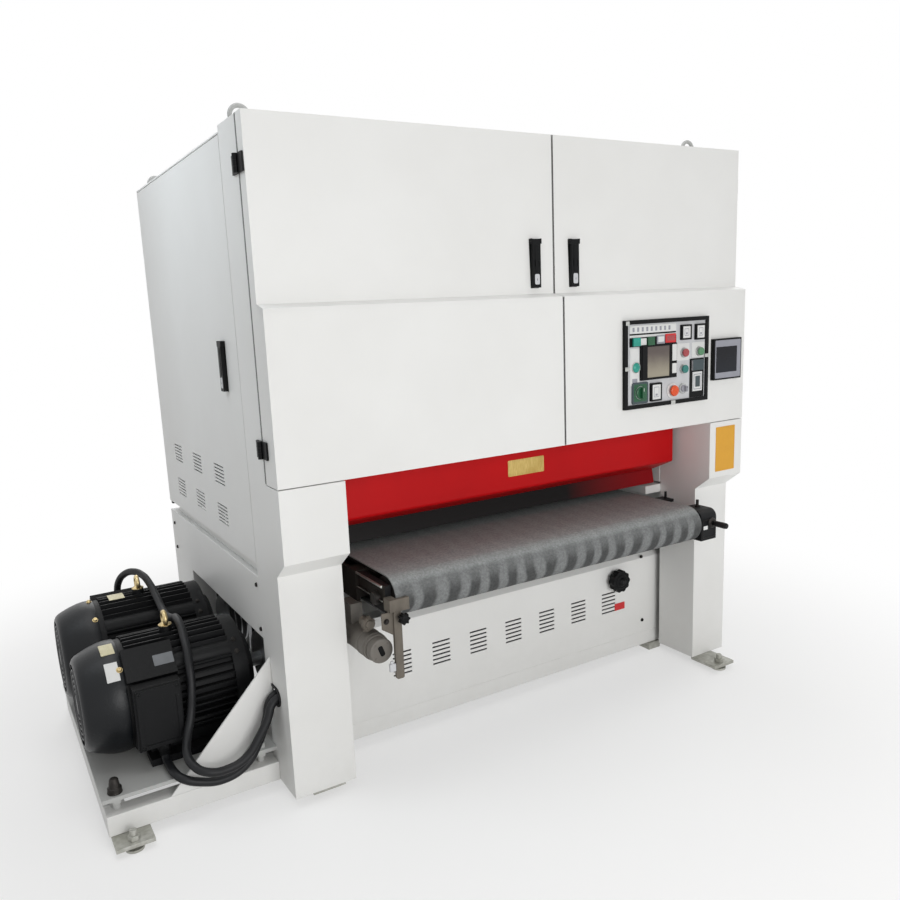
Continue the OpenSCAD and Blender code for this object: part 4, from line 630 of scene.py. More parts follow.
ringPrism(meshes["greyAbs"], shareRect(*outer), shareRect(*inner), 1, face - low, face - high)
for key, rect in panel["switchPlates"].items():
    holedPlate(meshes[key], rect, panel["switch"], panel["switchHole"])
for name, rect in panel["buttonPlates"].items():
    holedPlate(meshes["pale"], rect, panel["buttons"][name][:2], panel["buttonHole"])
x, z = onPanel(*panel["lamp"])
spin(meshes["tealLens"], (x, face, z), ahead, panel["lampLens"], 40)
collar(meshes["zinc"], panel["lamp"], *panel["collars"]["lamp"])
for u, v, key in panel["buttons"].values():
    collar(meshes["zinc"], (u, v), *panel["collars"]["button"])
collar(meshes["zinc"], panel["key"], *panel["collars"]["key"])
collar(meshes["pale"], panel["stop"], *panel["collars"]["stop"])
for key, bm in meshes.items():
    piece("panel_" + key, bm, "right_door", key, 0.5)
print("panel face", len(meshes))

# heads of the push buttons: dished caps and a mushroom on their stems
heads = {"cap": [(-12, 0), (-12, 6.9), (8.5, 6.9), (8.5, 14.2), (13.4, 14.6), (15.2, 13.3), (15.2, 11.6),
                 (14.2, 10.4), (13.9, 0)],
         "mushroom": [(-12, 0), (-12, 8.9), (8.5, 8.9), (8.5, 12), (9.4, 17), (11.6, 19.5), (14, 20),
                      (17.2, 18.6), (19.4, 14.4), (20.2, 8), (20.3, 0)]}
for name, (u, v, key) in panel["buttons"].items():
    x, z = onPanel(u, v)
    bm = bmesh.new()
    spin(bm, (x, face, z), ahead, heads["cap"], 40)
    piece(name + "_cap", bm, name, key, 0.0, (name,))
x, z = onPanel(*panel["stop"])
bm = bmesh.new()
spin(bm, (x, face, z), ahead, heads["mushroom"], 48)
piece("stop_mushroom", bm, "stop_button", "stop", 0.0, ("stop_button",))

# turned switches: round base, grip bar, pointer line
switches = {"main_switch": ("switch", 22.0, 6.0, "darkGreen", "pale"),
            "key_selector": ("key", 12.8, 4.2, "greyAbs", "blackAbs")}
for name, (place, r, half, key, mark) in switches.items():
    x, z = onPanel(*panel[place])
    centre = (x, face, z)
    bm = bmesh.new()
    spin(bm, centre, ahead, [(-12, 0), (-12, 6.9), (4.4, 6.9), (4.4, r - 0.6), (8.6, r), (11.2, r - 2.4),
                             (12.2, r - 5), (12.2, 0)], 48)
    grip = roundRect(-half, half, -r + 2.5, r - 2.5, half * 0.8)
    slab(bm, centre, rightward, upward, grip, 12.0, 23.6)
    piece(name + "_knob", bm, name, key, 0.8, (name,))
    bm = bmesh.new()
    slab(bm, centre, rightward, upward, roundRect(-1.1, 1.1, r * 0.25, r - 5, 1.0), 23.4, 24.0)
    piece(name + "_mark", bm, name, mark, 0.2)

# operator screen: pale bezel wider at the right, dark display set to the left
operator = {"rim": (771, 910, 1174, 1315, 4), "opening": (775, 890, 1195, 1291, 2),
            "pane": (774, 891, 1194, 1292, 2), "rimDepth": (-62.6, -64.8), "paneDepth": (-59.5, -63.8)}
bm = bmesh.new()
ringPrism(bm, roundRect(*operator["rim"]), roundRect(*operator["opening"]), 1, *operator["rimDepth"])
piece("operator_bezel", bm, "right_door", "greyAbs", 0.8)
bm = bmesh.new()
prism(bm, roundRect(*operator["pane"]), 1, *operator["paneDepth"])
piece("operator_display", bm, "right_door", "screenDark", 0.3)

# lever handles: long rib, squared ends, plated lock with a key slot, cheeks and sheet on the door
levers = {"left": ((-15, 0, 1682.7), rightward, "left_handle", "left_door"),
          "right": ((145, 0, 1682.7), rightward, "right_handle", "right_door"),
          "side": ((-950, 343, 1409.7), ahead, "left_service_handle", "left_service_door")}
leverParts = {  # finish, edge, its segments, then outlines from the top with their depths over the door
    "rib": ("blackAbs", 1.4, 3, [(roundRect(-6.5, 6.5, -104, -18, 6), 6.6, 16.2),
                                 (roundRect(-15.4, 15.4, -10, -1.6, 0.8), 8, 14.8),
                                 (roundRect(-15.4, 15.4, -152.2, -146, 0.8), 2, 14.8)]),
    "lock": ("plate", 0.7, 2, [(roundRect(-9.6, 9.6, -143, -110, 5), 14.2, 16.0)]),
    "key_slot": ("blackAbs", 0.2, 2, [(roundRect(-0.8, 0.8, -131, -124, 0.7), 15.8, 16.15)]),
    "cheeks": ("blackAbs", 0.25, 2, [(roundRect(-20.2, -15.9, -15.6, 0.8, 1.2), 0.1, 14.7),
                                     (roundRect(15.9, 20.2, -15.6, 0.8, 1.2), 0.1, 14.7),
                                     ([(-20.2, 0.8), (-20.2, -15.6), (-16.4, -154), (16.4, -154), (20.2, -15.6),
                                       (20.2, 0.8)], 0.05, 0.8)])}
for name, (top, across, lever, door) in levers.items():
    for part, (key, edge, segments, slabs) in leverParts.items():
        bm = bmesh.new()
        for outline, low, high in slabs:
            slab(bm, top, across, upward, outline, low, high)
        piece(f"{name}_lever_{part}", bm, door if part == "cheeks" else lever, key, edge, (), segments)
print("handles and screen")

# motors: cowls with a ringed grille, plates, screws and lifting eyes, measured from each motor's axis
motor = {"axes": (450.0, 890.0), "height": 322.0, "cowlFoot": -1352.5,
         "shell": [(0, 172.6), (0, 174.6), (3, 176), (28, 176), (48, 173), (76, 165), (100, 155.5), (114, 149),
                   (122, 142), (127, 133), (128, 126), (125, 126), (124, 132), (119, 139), (111, 146),
                   (97, 152.5), (74, 162), (48, 170), (28, 172.6), (0, 172.6)],
         "rings": range(28, 124, 16), "wire": 2.2, "wireAt": 126.5, "ribs": 8, "ribStart": 12, "ribAt": 124.5,
         "rib": [(24, -3), (128, -3), (128, 3), (24, 3)], "hubAt": 124,
         "hub": [(0, 0), (0, 30), (3, 30), (4, 26), (4, 0)],
         "ratingPlates": [(450, 173.6, -1402, -1362, 68, 87, 3.2), (890, 180.2, -1300, -1246, 80, 101, 0.9)],
         "sticker": (450, 173.6, -1402, -1364, 36.5, 57, 3.0),
         "padAt": (-1230, 328.6, 457.4), "padSlope": (0, 0.70711, 0.70711), "pad": (-33, 27, -22, 14, 3),
         "screws": [(450, -1362, 47), (450, -1362, 137), (450, -1362, 227), (890, -1364, 92), (890, -1362, 54),
                    (890, -1362, 182)], "screwReach": 175,
         "screw": [(0, 0), (0, 9.5), (2, 9.5), (2.4, 7.5), (6.5, 7.2), (8.6, 5.4), (8.6, 2.4), (6.4, 2.4),
                   (6.4, 0)],
         "flange": -980.2, "flangeReach": 140, "shieldAt": -1008, "shieldAngles": (37, 51), "shieldReach": 171,
         "shieldNut": [(0, 0), (0, 9), (2, 9), (2, 6.5), (7, 6.5), (8, 5), (8, 0)],
         "eyeAt": -1194, "eye": (538, 20, 7.7), "eyeFoot": 500,
         "eyeStem": [(16.2, 0), (16.2, 21), (19, 21), (20, 17), (26, 10.5), (28, 0)]}
axisHeight = motor["height"]
cowlFoot = motor["cowlFoot"]


def curvedPlate(bm, y, r, x0, x1, low, top, t):  # sheet bent round a motor's axis
    steps = [math.radians(low + (top - low) * k / 12) for k in range(13)]
    line = [(y - (r + t) * math.cos(a), axisHeight + (r + t) * math.sin(a)) for a in steps]
    line += [(y - r * math.cos(a), axisHeight + r * math.sin(a)) for a in reversed(steps)]
    prism(bm, line, 0, x0, x1)


def outOf(degrees):  # direction away from a motor's axis, angles from the front upwards
    a = math.radians(degrees)
    return Vector((0, -math.cos(a), math.sin(a)))


def around(count, start):  # cosine and sine of each place on a circle
    turns = [math.radians(start + 360 / count * k) for k in range(count)]
    return [(math.cos(a), math.sin(a)) for a in turns]


bm = bmesh.new()
for y in motor["axes"]:
    spin(bm, (cowlFoot, y, axisHeight), leftward, motor["shell"], 96)
    for r in motor["rings"]:
        torus(bm, (cowlFoot - motor["wireAt"], y, axisHeight), 0, r, motor["wire"], 64, 8)
    for c, s in around(motor["ribs"], motor["ribStart"]):
        slab(bm, (cowlFoot - motor["ribAt"], y, axisHeight), (0, c, s), (0, -s, c), motor["rib"], -2.2, 0)
    spin(bm, (cowlFoot - motor["hubAt"], y, axisHeight), leftward, motor["hub"], 48)
piece("cowl_shells", bm, "frame", "cowl", 0.0, ("motor_cowls",))
bm = bmesh.new()
for shape in motor["ratingPlates"]:
    curvedPlate(bm, *shape)
piece("motor_rating_plates", bm, "frame", "rating", 0.25)
bm = bmesh.new()
curvedPlate(bm, *motor["sticker"])
piece("motor_sticker", bm, "frame", "pale", 0.2)
bm = bmesh.new()
slab(bm, motor["padAt"], rightward, motor["padSlope"], roundRect(*motor["pad"]), -1.2, 1.2)
piece("motor_pad_plate", bm, "frame", "slatePlate", 0.3)
bm = bmesh.new()
for y, x, degrees in motor["screws"]:
    out = outOf(degrees)
    spin(bm, Vector((x, y, axisHeight)) + motor["screwReach"] * out, out, motor["screw"], 20)
piece("cowl_screws", bm, "frame", "gold", 0.0)
bm = bmesh.new()
for y in motor["axes"]:
    for c, s in around(8, 22.5):
        reach = motor["flangeReach"]
        hexBolt(bm, (motor["flange"], y + reach * c, axisHeight + reach * s), 0, 1, 9, 8)
    for degrees in motor["shieldAngles"]:
        out = outOf(degrees)
        foot = Vector((motor["shieldAt"], y, axisHeight)) + motor["shieldReach"] * out
        spin(bm, foot, out, motor["shieldNut"], 6)
piece("shield_bolts", bm, "frame", "dark", 0.4)
bm = bmesh.new()
for y in motor["axes"]:
    eyeHeight, eyeRadius, eyeWire = motor["eye"]
    torus(bm, (motor["eyeAt"], y, eyeHeight), 0, eyeRadius, eyeWire, 48, 16)
    spin(bm, (motor["eyeAt"], y, motor["eyeFoot"]), upward, motor["eyeStem"], 28)
piece("motor_eyes", bm, "frame", "gold", 0.0)

# terminal boxes: raised lid rims, lid screws, hood ribs
lids = {"faces": ((-1, 240.0), (1, 1100.0)), "rim": (-1338.5, -1211.5, 217, 403, 7),
        "opening": (-1326, -1224, 229, 372, 6), "hood": (-1326, -1224, 378, 394, 5),
        "sunk": 0.4, "rimHeight": 3.2, "hoodHeight": 2.4,
        "screws": [(x, z) for x in (-1332, -1218) for z in (223, 397)]}
bm = bmesh.new()
for s, lid in lids["faces"]:
    low = lid - s * lids["sunk"]
    ringPrism(bm, roundRect(*lids["rim"]), roundRect(*lids["opening"]), 1, low, lid + s * lids["rimHeight"])
    prism(bm, roundRect(*lids["hood"]), 1, low, lid + s * lids["hoodHeight"])
    for x, z in lids["screws"]:
        bolt(bm, (x, lid + s * 3, z), 1, s, 5.2, 4.2)
piece("terminal_lids", bm, "frame", "cast", 1.0)

# cable glands: nut and tapered sleeve on the box, oblong grommet at the leg
glands = [((-1270, 268), (197, 208), 197.5, (0, 0, -1),
           [(0, 13.2), (0, 20), (4, 19), (6, 17.5), (26, 14.6), (28, 13.4)]),
          ((-1240, 1072), (412, 424), 423, upward,
           [(0, 13.2), (0, 20), (5, 19), (8, 17.5), (34, 14.6), (36, 13.4)])]
grommet = {"y": (113.0, 151.0), "z": 330.0, "hole": 22.5, "flange": (30.5, -954.5, -950.1),
           "neck": (24.6, -950.3, -941)}
bm = bmesh.new()
for (x, y), nut, z, way, sleeve in glands:
    prism(bm, polygon(x, y, 22, 6), 2, *nut)
    spin(bm, (x, y, z), way, sleeve, 32)
piece("cable_glands", bm, "frame", "blackAbs", 0.6)


def oblong(r):
    (y0, y1), z = grommet["y"], grommet["z"]
    return arc(y1, z, r, -90, 180, 12) + arc(y0, z, r, 90, 180, 12)


bm = bmesh.new()
for r, x0, x1 in (grommet["flange"], grommet["neck"]):
    ringPrism(bm, oblong(r), oblong(grommet["hole"]), 0, x0, x1)
piece("leg_grommet", bm, "frame", "rubber", 1.6, (), 3)

# tapered cap on the front left stud of the motor plate
stud = {"at": (-1432, 197, 140.2), "cap": [(0, 0), (0, 21.4), (3, 21.4), (4, 20.5), (16.4, 20.3), (18, 16.4),
                                           (41, 12.8), (44, 10.4), (44.6, 8), (44.6, 0)]}
bm = bmesh.new()
spin(bm, stud["at"], upward, stud["cap"], 32)
piece("stud_cap", bm, "frame", "dark", 0.8)

# cover screws: finish, then axis, face, side, head radius and spots of each row
screwHeight = 5
covers = {"cover_screws": ("dark", [(0, -950.1, -1, 6.5, [(223, 662), (216, 518), (1286, 536), (1290, 640)]),
                                    (1, 235.9, -1, 6.5, [(696, 423), (703, 141.5), (-690, 141.5),
                                                         (-690, 423)])]),
          "rear_screws": ("zinc", [(1, 1340.1, 1, 7, [(x, z) for x in (-655, -328, 0, 328, 655)
                                                      for z in (800, 1120, 1660, 1950)]),
                                   (0, 950.1, 1, 6.5, [(y, z) for y in (260, 500, 760, 1020, 1240)
                                                       for z in (120, 660)])])}
for name, (key, rows) in covers.items():
    bm = bmesh.new()
    for axis, level, sign, r, spots in rows:
        for spot in spots:
            bolt(bm, (*spot[:axis], level, *spot[axis:]), axis, sign, r, screwHeight)
    piece(name, bm, "frame", key, 0.0)

# dust outlets: rolled rim, flange with a ring of screws
outlets = {"x": (-300, 300), "z": 1500, "rim": (1408, 75, 3.2), "back": 1340.2,
           "screwFace": 1343.2, "screwReach": 90,
           "flange": [(0, 75.2), (0, 98), (2.6, 98), (3.2, 97), (3.2, 82), (9, 76), (9, 75.2)]}
bm = bmesh.new()
for x in outlets["x"]:
    y, big, small = outlets["rim"]
    torus(bm, (x, y, outlets["z"]), 1, big, small, 64, 10)
    spin(bm, (x, outlets["back"], outlets["z"]), astern, outlets["flange"], 64)
    for c, s in around(8, 22.5):
        spot = (x + outlets["screwReach"] * c, outlets["screwFace"], outlets["z"] + outlets["screwReach"] * s)
        bolt(bm, spot, 1, 1, 4.2, 3)
piece("outlet_collars", bm, "frame", "white", 0.0)

# quarter-turn locks on the right service door
locks = {"z": (1000, 1600), "y": 300, "face": 950.1, "barFace": 956, "bar": (-3, 3, -10, 10, 2.6),
         "body": [(0, 0), (0, 17), (2, 17), (3, 14), (6, 13), (7, 11.4), (7, 0)]}
bm = bmesh.new()
for z in locks["z"]:
    spin(bm, (locks["face"], locks["y"], z), rightward, locks["body"], 32)
    slab(bm, (locks["barFace"], locks["y"], z), astern, upward, roundRect(*locks["bar"]), 0, 4)
piece("door_locks", bm, "right_service_door", "blackAbs", 0.4)
print("motor and cover trim")

# left end of the conveyor: channel on the slide, bright lips, hanger, clamp knob, motor cap and fittings
slide = {"channel": [(-667.9, 686.2), (-677, 686.2), (-677, 682.4), (-671, 682.4), (-671, 641.6), (-677, 641.6),
                     (-677, 637.8), (-667.9, 637.8)], "channelRun": (-99.4, 74.4), "lipRun": (-99.0, 74.0),
         "lips": [(-681, -675.5, 681.0, 688.2, 1.6), (-679, -675.5, 637.2, 640.8, 1.2)]}
# the slide channel takes the dark primer that also serves as painted shade
bm = bmesh.new()
prism(bm, slide["channel"], 1, *slide["channelRun"])
piece("slide_channel", bm, "table", "darkSheetAndShade", 0.5)
bm = bmesh.new()
for lip in slide["lips"]:
    prism(bm, roundRect(*lip), 1, *slide["lipRun"])
piece("slide_lips", bm, "table", "zinc", 0.4)

hanger = {"clamps": [(-675, -610, -140, -127, 614, 652, 1.0), (-675, -649, -127.5, -100.2, 614, 652, 1.0)],
          "bar": (-664, -638, 405, 614.5, 6), "barRun": (-140, -128),
          "web": [(-663, 615), (-700, 615), (-700, 567), (-663, 542)], "webRun": (-134, -128),
          "connector": [(-684, -664.2, -139, -129, 432, 456, 2), (-680, -670, -137, -131, 455.8, 464, 2)],
          "bolt": (-686, -134.0, 590)}
knob = {"x": -641, "z": 597, "r": 15.4, "swell": 2.6, "lobes": 7, "run": (-152.0, -168.6), "capFace": -168.2,
        "stemFace": -152.4, "cap": [(0, 13), (2, 12.6), (3.4, 10), (3.8, 6), (3.8, 0)],
        "stem": [(0, 0), (0, 10), (6, 8.4), (12.6, 8.4), (12.6, 0)]}
bm = bmesh.new()
for clamp in hanger["clamps"]:
    block(bm, *clamp)
prism(bm, roundRect(*hanger["bar"]), 1, *hanger["barRun"])
prism(bm, hanger["web"], 1, *hanger["webRun"])
piece("hanger_plates", bm, "table", "bar", 1.0, ("hanger_bracket",))
bm = bmesh.new()
prism(bm, lobed(*(knob[k] for k in ("x", "z", "r", "swell", "lobes"))), 1, *knob["run"])
spin(bm, (knob["x"], knob["capFace"], knob["z"]), ahead, knob["cap"], 32)
spin(bm, (knob["x"], knob["stemFace"], knob["z"]), astern, knob["stem"], 24)
piece("clamp_knob", bm, "table", "blackAbs", 1.8, ("hanger_bracket",), 3)

tracker = {"x": -691, "z": 488, "capFace": -99.9, "bands": (-58, -20, 84), "band": (42.8, 41.1, 12),
           "cap": [(-20, 36.8), (-20, 38.6), (-2, 38.6), (1.5, 36.5), (2.6, 33), (2.6, 24), (1.2, 22),
                   (1.2, 0)],
           "screwFace": -102.3, "screwReach": 29, "slotFace": -101.0, "slot": (-8, 8, -17, 17, 6),
           "slotTurn": ((0.94, 0, 0.34), (-0.34, 0, 0.94))}
steering = {"pipeAt": (-703, -62, 560), "nut": (-703, 560, 23, 6, 0.3), "nutRun": (-50, -37),
            "pipe": [(0, 0), (0, 12), (2, 14), (8, 14), (8, 19.5), (26, 19.5), (26, 15), (52, 15), (52, 0)],
            "postAt": (-697, -20, 527), "post": [(0, 0), (0, 13), (6, 12), (24, 10), (24, 0)]}
x, z = tracker["x"], tracker["z"]
bm = bmesh.new()
spin(bm, (x, tracker["capFace"], z), ahead, tracker["cap"], 56)
for y in tracker["bands"]:
    outer, inner, wide = tracker["band"]
    ringPrism(bm, polygon(x, z, outer, 56), polygon(x, z, inner, 56), 1, y, y + wide)
for c, s in around(4, 45):
    reach = tracker["screwReach"]
    bolt(bm, (x + reach * c, tracker["screwFace"], z + reach * s), 1, -1, 3.4, 2.4)
piece("tracking_motor_cap", bm, "table", "motorGrey", 0.4)
bm = bmesh.new()
slab(bm, (x, tracker["slotFace"], z), *tracker["slotTurn"], roundRect(*tracker["slot"]), 0.0, 0.7)
piece("tracking_motor_slot", bm, "table", "blackAbs", 0.2)
bm = bmesh.new()
spin(bm, steering["pipeAt"], astern, steering["pipe"], 28)
prism(bm, polygon(*steering["nut"]), 1, *steering["nutRun"])
spin(bm, steering["postAt"], upward, steering["post"], 24)
piece("steering_fitting", bm, "table", "bar", 0.8)
bm = bmesh.new()
for body in hanger["connector"]:
    block(bm, *body)
piece("bar_connector", bm, "table", "plate", 0.8)
bm = bmesh.new()
hexBolt(bm, hanger["bolt"], 1, -1, 6.0, 6)
piece("bracket_bolts", bm, "table", "dark", 0.4)

# right bracket: blank label, groove line and turned collar, grip of the tension handle, nut on top
bracket = {"label": (666, 688, 618, 632, 2), "labelRun": (-115.1, -116.4), "groove": (661, 729, 584, 655, 10),
           "grooveInside": (663.5, 726.5, 586.5, 652.5, 8), "grooveRun": (-115.0, -116.2),
           "collarAt": (710, -115.1, 640), "gripAt": (710, -184.9, 640), "nutAt": (710, -45, 700),
           "collar": [(0, 9.0), (0, 20), (3, 20), (4.5, 18), (7, 16.5), (8, 14.5), (8, 9.0)],
           "grip": [(-0.4, 0), (-0.4, 6), (1.2, 9.4), (4, 10.9), (12, 11.4), (40, 10.8), (49, 10.6), (51, 9.2),
                    (51, 8.1)],
           "nut": [(-11, 0), (-11, 11), (-6, 11), (-5, 6.4), (16, 6.4)]}
bm = bmesh.new()
prism(bm, roundRect(*bracket["label"]), 1, *bracket["labelRun"])
piece("bracket_label", bm, "table", "pale", 0.2)
bm = bmesh.new()
ringPrism(bm, roundRect(*bracket["groove"]), roundRect(*bracket["grooveInside"]), 1, *bracket["grooveRun"])
spin(bm, bracket["collarAt"], ahead, bracket["collar"], 40)
piece("bracket_rim", bm, "table", "dark", 0.3)
bm = bmesh.new()
spin(bm, bracket["gripAt"], astern, bracket["grip"], 40)
piece("tension_grip", bm, "tension_handle", "rubber", 0.0)
bm = bmesh.new()
spin(bm, bracket["nutAt"], upward, bracket["nut"], 6)
piece("bracket_nuts", bm, "table", "dark", 0.4)

# infeed guard: one folded sheet with closed ends, the lip behind it painted black and dark red as painted
# shade, lip at the outfeed side
guard = {"left": -746.6, "right": 745.0, "front": 115.0, "top": 1004.8, "fold": 836.0, "back": 215.0,
         "low": 797.0, "t": 3.0, "bend": 14.0, "sweep": 65, "rearRun": (-685, 685),
         "endTop": 1004, "endFront": 117, "endBack": 214, "endLow": 801,
         "lip": [(214, 737.2), (217, 737.2), (229, 799), (229, 1004.8), (226, 1004.8), (226, 799)],
         "rear": [(1331, 737.2), (1334, 737.2), (1334, 835), (1331, 835)],
         "sidePlate": (205.6, 330, 737.6, 1004.6, 2), "sidePlateRun": (768.4, 771.6)}
foldAt = (guard["front"] + guard["bend"], guard["fold"] + guard["bend"])
bend, inside = (arc(*foldAt, r, 180, guard["sweep"], 8) for r in (guard["bend"], guard["bend"] - guard["t"]))
outline = [(guard["front"], guard["top"])] + bend
outline += [(guard["back"], guard["low"]), (guard["back"] + 1, guard["low"] + guard["t"])]
outline += inside[::-1] + [(guard["front"] + guard["t"], guard["top"])]
ending = [(guard["endFront"], guard["endTop"])] + inside
ending += [(guard["endBack"], guard["endLow"]), (guard["endBack"], guard["endTop"])]
bm = bmesh.new()
prism(bm, outline, 0, guard["left"], guard["right"])
for x in (guard["left"], guard["right"] - guard["t"]):
    prism(bm, ending, 0, x, x + guard["t"])
prism(bm, guard["rear"], 0, *guard["rearRun"])
piece("guard_sheet", bm, "frame", "red", 0.6, ("infeed_guard",))
bm = bmesh.new()
prism(bm, guard["lip"], 0, guard["left"], guard["right"])
piece("guard_lip", bm, "frame", "lip", 0.6, ("infeed_guard",))
bm = bmesh.new()
prism(bm, roundRect(*guard["sidePlate"]), 0, *guard["sidePlateRun"])
piece("guard_side_plate", bm, "frame", "white", 0.4)

# dark sheet behind the slots of the lower panel, painted shade standing in for the dark inside the cabinet
mat = {"outline": (-640, 640, 160, 352, 4), "run": (242, 245)}
bm = bmesh.new()
prism(bm, roundRect(*mat["outline"]), 1, *mat["run"])
piece("slot_shade_sheet", bm, "frame", "rubber", 0.4)

# doors: level top of the lower step, black rubber seals along the gaps that also give the gaps their painted
# shade; outer edge, inner edge, side
doors = {"left_door": (-950.0, 63.5, -1), "right_door": (950.0, 66.5, 1)}
doorStep = [(-47.15, 1470), (-47.15, 1497.2), (-46.5, 1498.4), (-45.4, 1499), (0.3, 1510.2), (4, 1508),
            (-44, 1476)]
sealsAndShade = {"wide": 1.7, "deep": 2, "proud": 0.45, "faces": ((-0.45, 1510, 2003.6), (-47.6, 1010, 1497)),
         "hinge": (45.7, 48, 1010, 2003.6, 0.2), "column": (51.2, 53, 1010, 2003, 0.2),
         "columnRun": (950.4, 948)}
for name, (outer, inner, s) in doors.items():
    bm = bmesh.new()
    prism(bm, doorStep, 0, *sorted((outer, inner)))
    piece(name + "_step", bm, name, "white", 0.0)
    bm = bmesh.new()
    edges = sorted((inner, inner + sealsAndShade["wide"] * s))
    for y, z0, z1 in sealsAndShade["faces"]:
        prism(bm, roundRect(*edges, z0, z1, 0.2), 1, y, y + sealsAndShade["deep"])
    prism(bm, roundRect(*sealsAndShade["hinge"]), 0, outer + sealsAndShade["proud"] * s, outer - sealsAndShade["deep"] * s)
    piece(name + "_seals_and_shade", bm, name, "rubber", 0.0)
# black strips beside the columns: seals that also stand in as painted shade for the dark of the gaps
bm = bmesh.new()
for s in (-1, 1):
    prism(bm, roundRect(*sealsAndShade["column"]), 0, *(x * s for x in sealsAndShade["columnRun"]))
piece("column_seals_and_shade", bm, "frame", "rubber", 0.0)
print("guard and door edges")

# scalloped handwheel with a domed hub on its shaft
wheel = {"x": 545, "z": 357, "r": 43.6, "swell": 2.4, "lobes": 10, "run": (219.6, 190.0), "hubFace": 190.5,
         "shaftFace": 219, "capFace": 178.4,
         "hub": [(0, 30), (2.5, 29), (3.5, 26), (3.0, 20), (3.5, 18), (9, 15), (11.5, 10), (12.2, 0)],
         "shaft": [(0, 0), (0, 26), (6, 24), (10, 13.4), (13, 13.2), (13, 8.9), (90, 8.9), (90, 0)],
         "cap": [(0, 0), (0, 7.2), (0.5, 7.2), (0.9, 6.2), (0.9, 0)]}
bm = bmesh.new()
prism(bm, lobed(*(wheel[k] for k in ("x", "z", "r", "swell", "lobes")), 180), 1, *wheel["run"])
spin(bm, (wheel["x"], wheel["hubFace"], wheel["z"]), ahead, wheel["hub"], 48)
spin(bm, (wheel["x"], wheel["shaftFace"], wheel["z"]), astern, wheel["shaft"], 40)
piece("handwheel_rim", bm, "handwheel", "blackAbs", 4.0, ("speed_handwheel",), 4)
bm = bmesh.new()
spin(bm, (wheel["x"], wheel["capFace"], wheel["z"]), ahead, wheel["cap"], 32)
piece("handwheel_cap", bm, "handwheel", "rubber", 0.0)

# blank plates: brass on the guard, orange on the right column, red under the handwheel
plates = {"guard_plate": ("brass", (-59, 98, 891, 948), 115.0, 4.0, 6.0),
          "column_plate": ("orange", (803, 909, 812, 985), -47.0, 3.0, 6.5),
          "wheel_plate": ("redFilm", (548, 603, 217, 247), 236.0, 2.0, 0.0)}
plateLine = (4, 5.4)  # raised line, from the plate's edge
rivetHead = [(0, 2.6), (0.9, 2.3), (1.5, 1.2), (1.6, 0)]
for name, (key, (x0, x1, z0, z1), y, r, rivet) in plates.items():
    bm = bmesh.new()
    prism(bm, roundRect(x0, x1, z0, z1, r), 1, y - 0.1, y - 1.3)
    outer, inner = (roundRect(x0 + d, x1 - d, z0 + d, z1 - d, r) for d in plateLine)
    ringPrism(bm, outer, inner, 1, y - 1.2, y - 1.7)
    if rivet:
        for x in (x0 + rivet, x1 - rivet):
            for z in (z0 + rivet, z1 - rivet):
                spin(bm, (x, y - 1.2, z), ahead, rivetHead, 14)
    piece(name, bm, "frame", key, 0.25)
print("conveyor trim and plates")

# electrical board: sheet, shelf, rails, contactors, drives and slotted ducts; places as shares of the board
gear = {"y": 229.0, "low": 1005.2, "tall": 975.8, "x": -700.0, "wide": 1420.0, "face": 220.8,
        "board": (-741, 766, 6), "shelf": (-746.8, 771.8, 52, 257.0, 4, 3), "rows": (0.25, 0.465, 0.68),
        "rail": [(-0.2, -12), (-6.8, -12), (-6.8, -18), (-8, -18), (-8, -10.8), (-1.4, -10.8)],
        "contactor": [(0, -41), (-54, -41), (-54, -24), (-83, -24)], "contactors": 10,
        "contactorStart": 0.028, "contactorPitch": 0.05, "contactorWide": 0.038, "terminal": (54.0, 32.5),
        "cover": (8, -19, 19, 3), "coverRun": (82.5, 84.4), "mark": (13, 4, 14, 1.5), "markRun": (84.2, 85),
        "drives": [(0.56, 0.25), (0.71, 0.465), (0.86, 0.25)], "driveWide": 0.112, "driveReach": (0.06, 0.08),
        "driveSlots": 9, "ducts": (0.145, 0.212, 4), "ductHalf": 0.02, "teeth": 71, "toothPitch": 20,
        "tooth": (13, 2.2)}


def mirrored(half, y, z):  # lower half of an outline and its mirror image above
    return [(y + a, z + b) for a, b in half] + [(y + a, z - b) for a, b in half[::-1]]


right = gear["x"] + gear["wide"]
y, f = gear["y"], gear["face"]
board, shelf, rails = bmesh.new(), bmesh.new(), bmesh.new()
bodies, tops, marks, screws, ducts = (bmesh.new() for k in range(5))
x0, x1, r = gear["board"]
prism(board, roundRect(x0, x1, gear["low"] + 4.2, gear["low"] + gear["tall"], r), 1, y, y + 4)
x0, x1, y0, y1, t, r = gear["shelf"]
block(shelf, x0, x1, y0, y1, gear["low"], gear["low"] + t, r)
for share in gear["rows"]:
    z = gear["low"] + share * gear["tall"]
    prism(rails, mirrored(gear["rail"], y, z), 0, gear["x"], right)
    for i in range(gear["contactors"]):
        x0 = gear["x"] + (gear["contactorStart"] + gear["contactorPitch"] * i) * gear["wide"]
        x1 = x0 + gear["contactorWide"] * gear["wide"]
        prism(bodies, mirrored(gear["contactor"], f, z), 0, x0, x1)
        for mesh, kind in ((tops, "cover"), (marks, "mark")):
            edge, low, high, r = gear[kind]
            run = (f - d for d in gear[kind + "Run"])
            prism(mesh, roundRect(x0 + edge, x1 - edge, z + low, z + high, r), 1, *run)
        depth, reach = gear["terminal"]
        for j in range(3):
            for s in (-1, 1):
                bolt(screws, (x0 + (0.2 + 0.3 * j) * (x1 - x0), f - depth, z + s * reach), 1, -1, 4.4, 2.4)
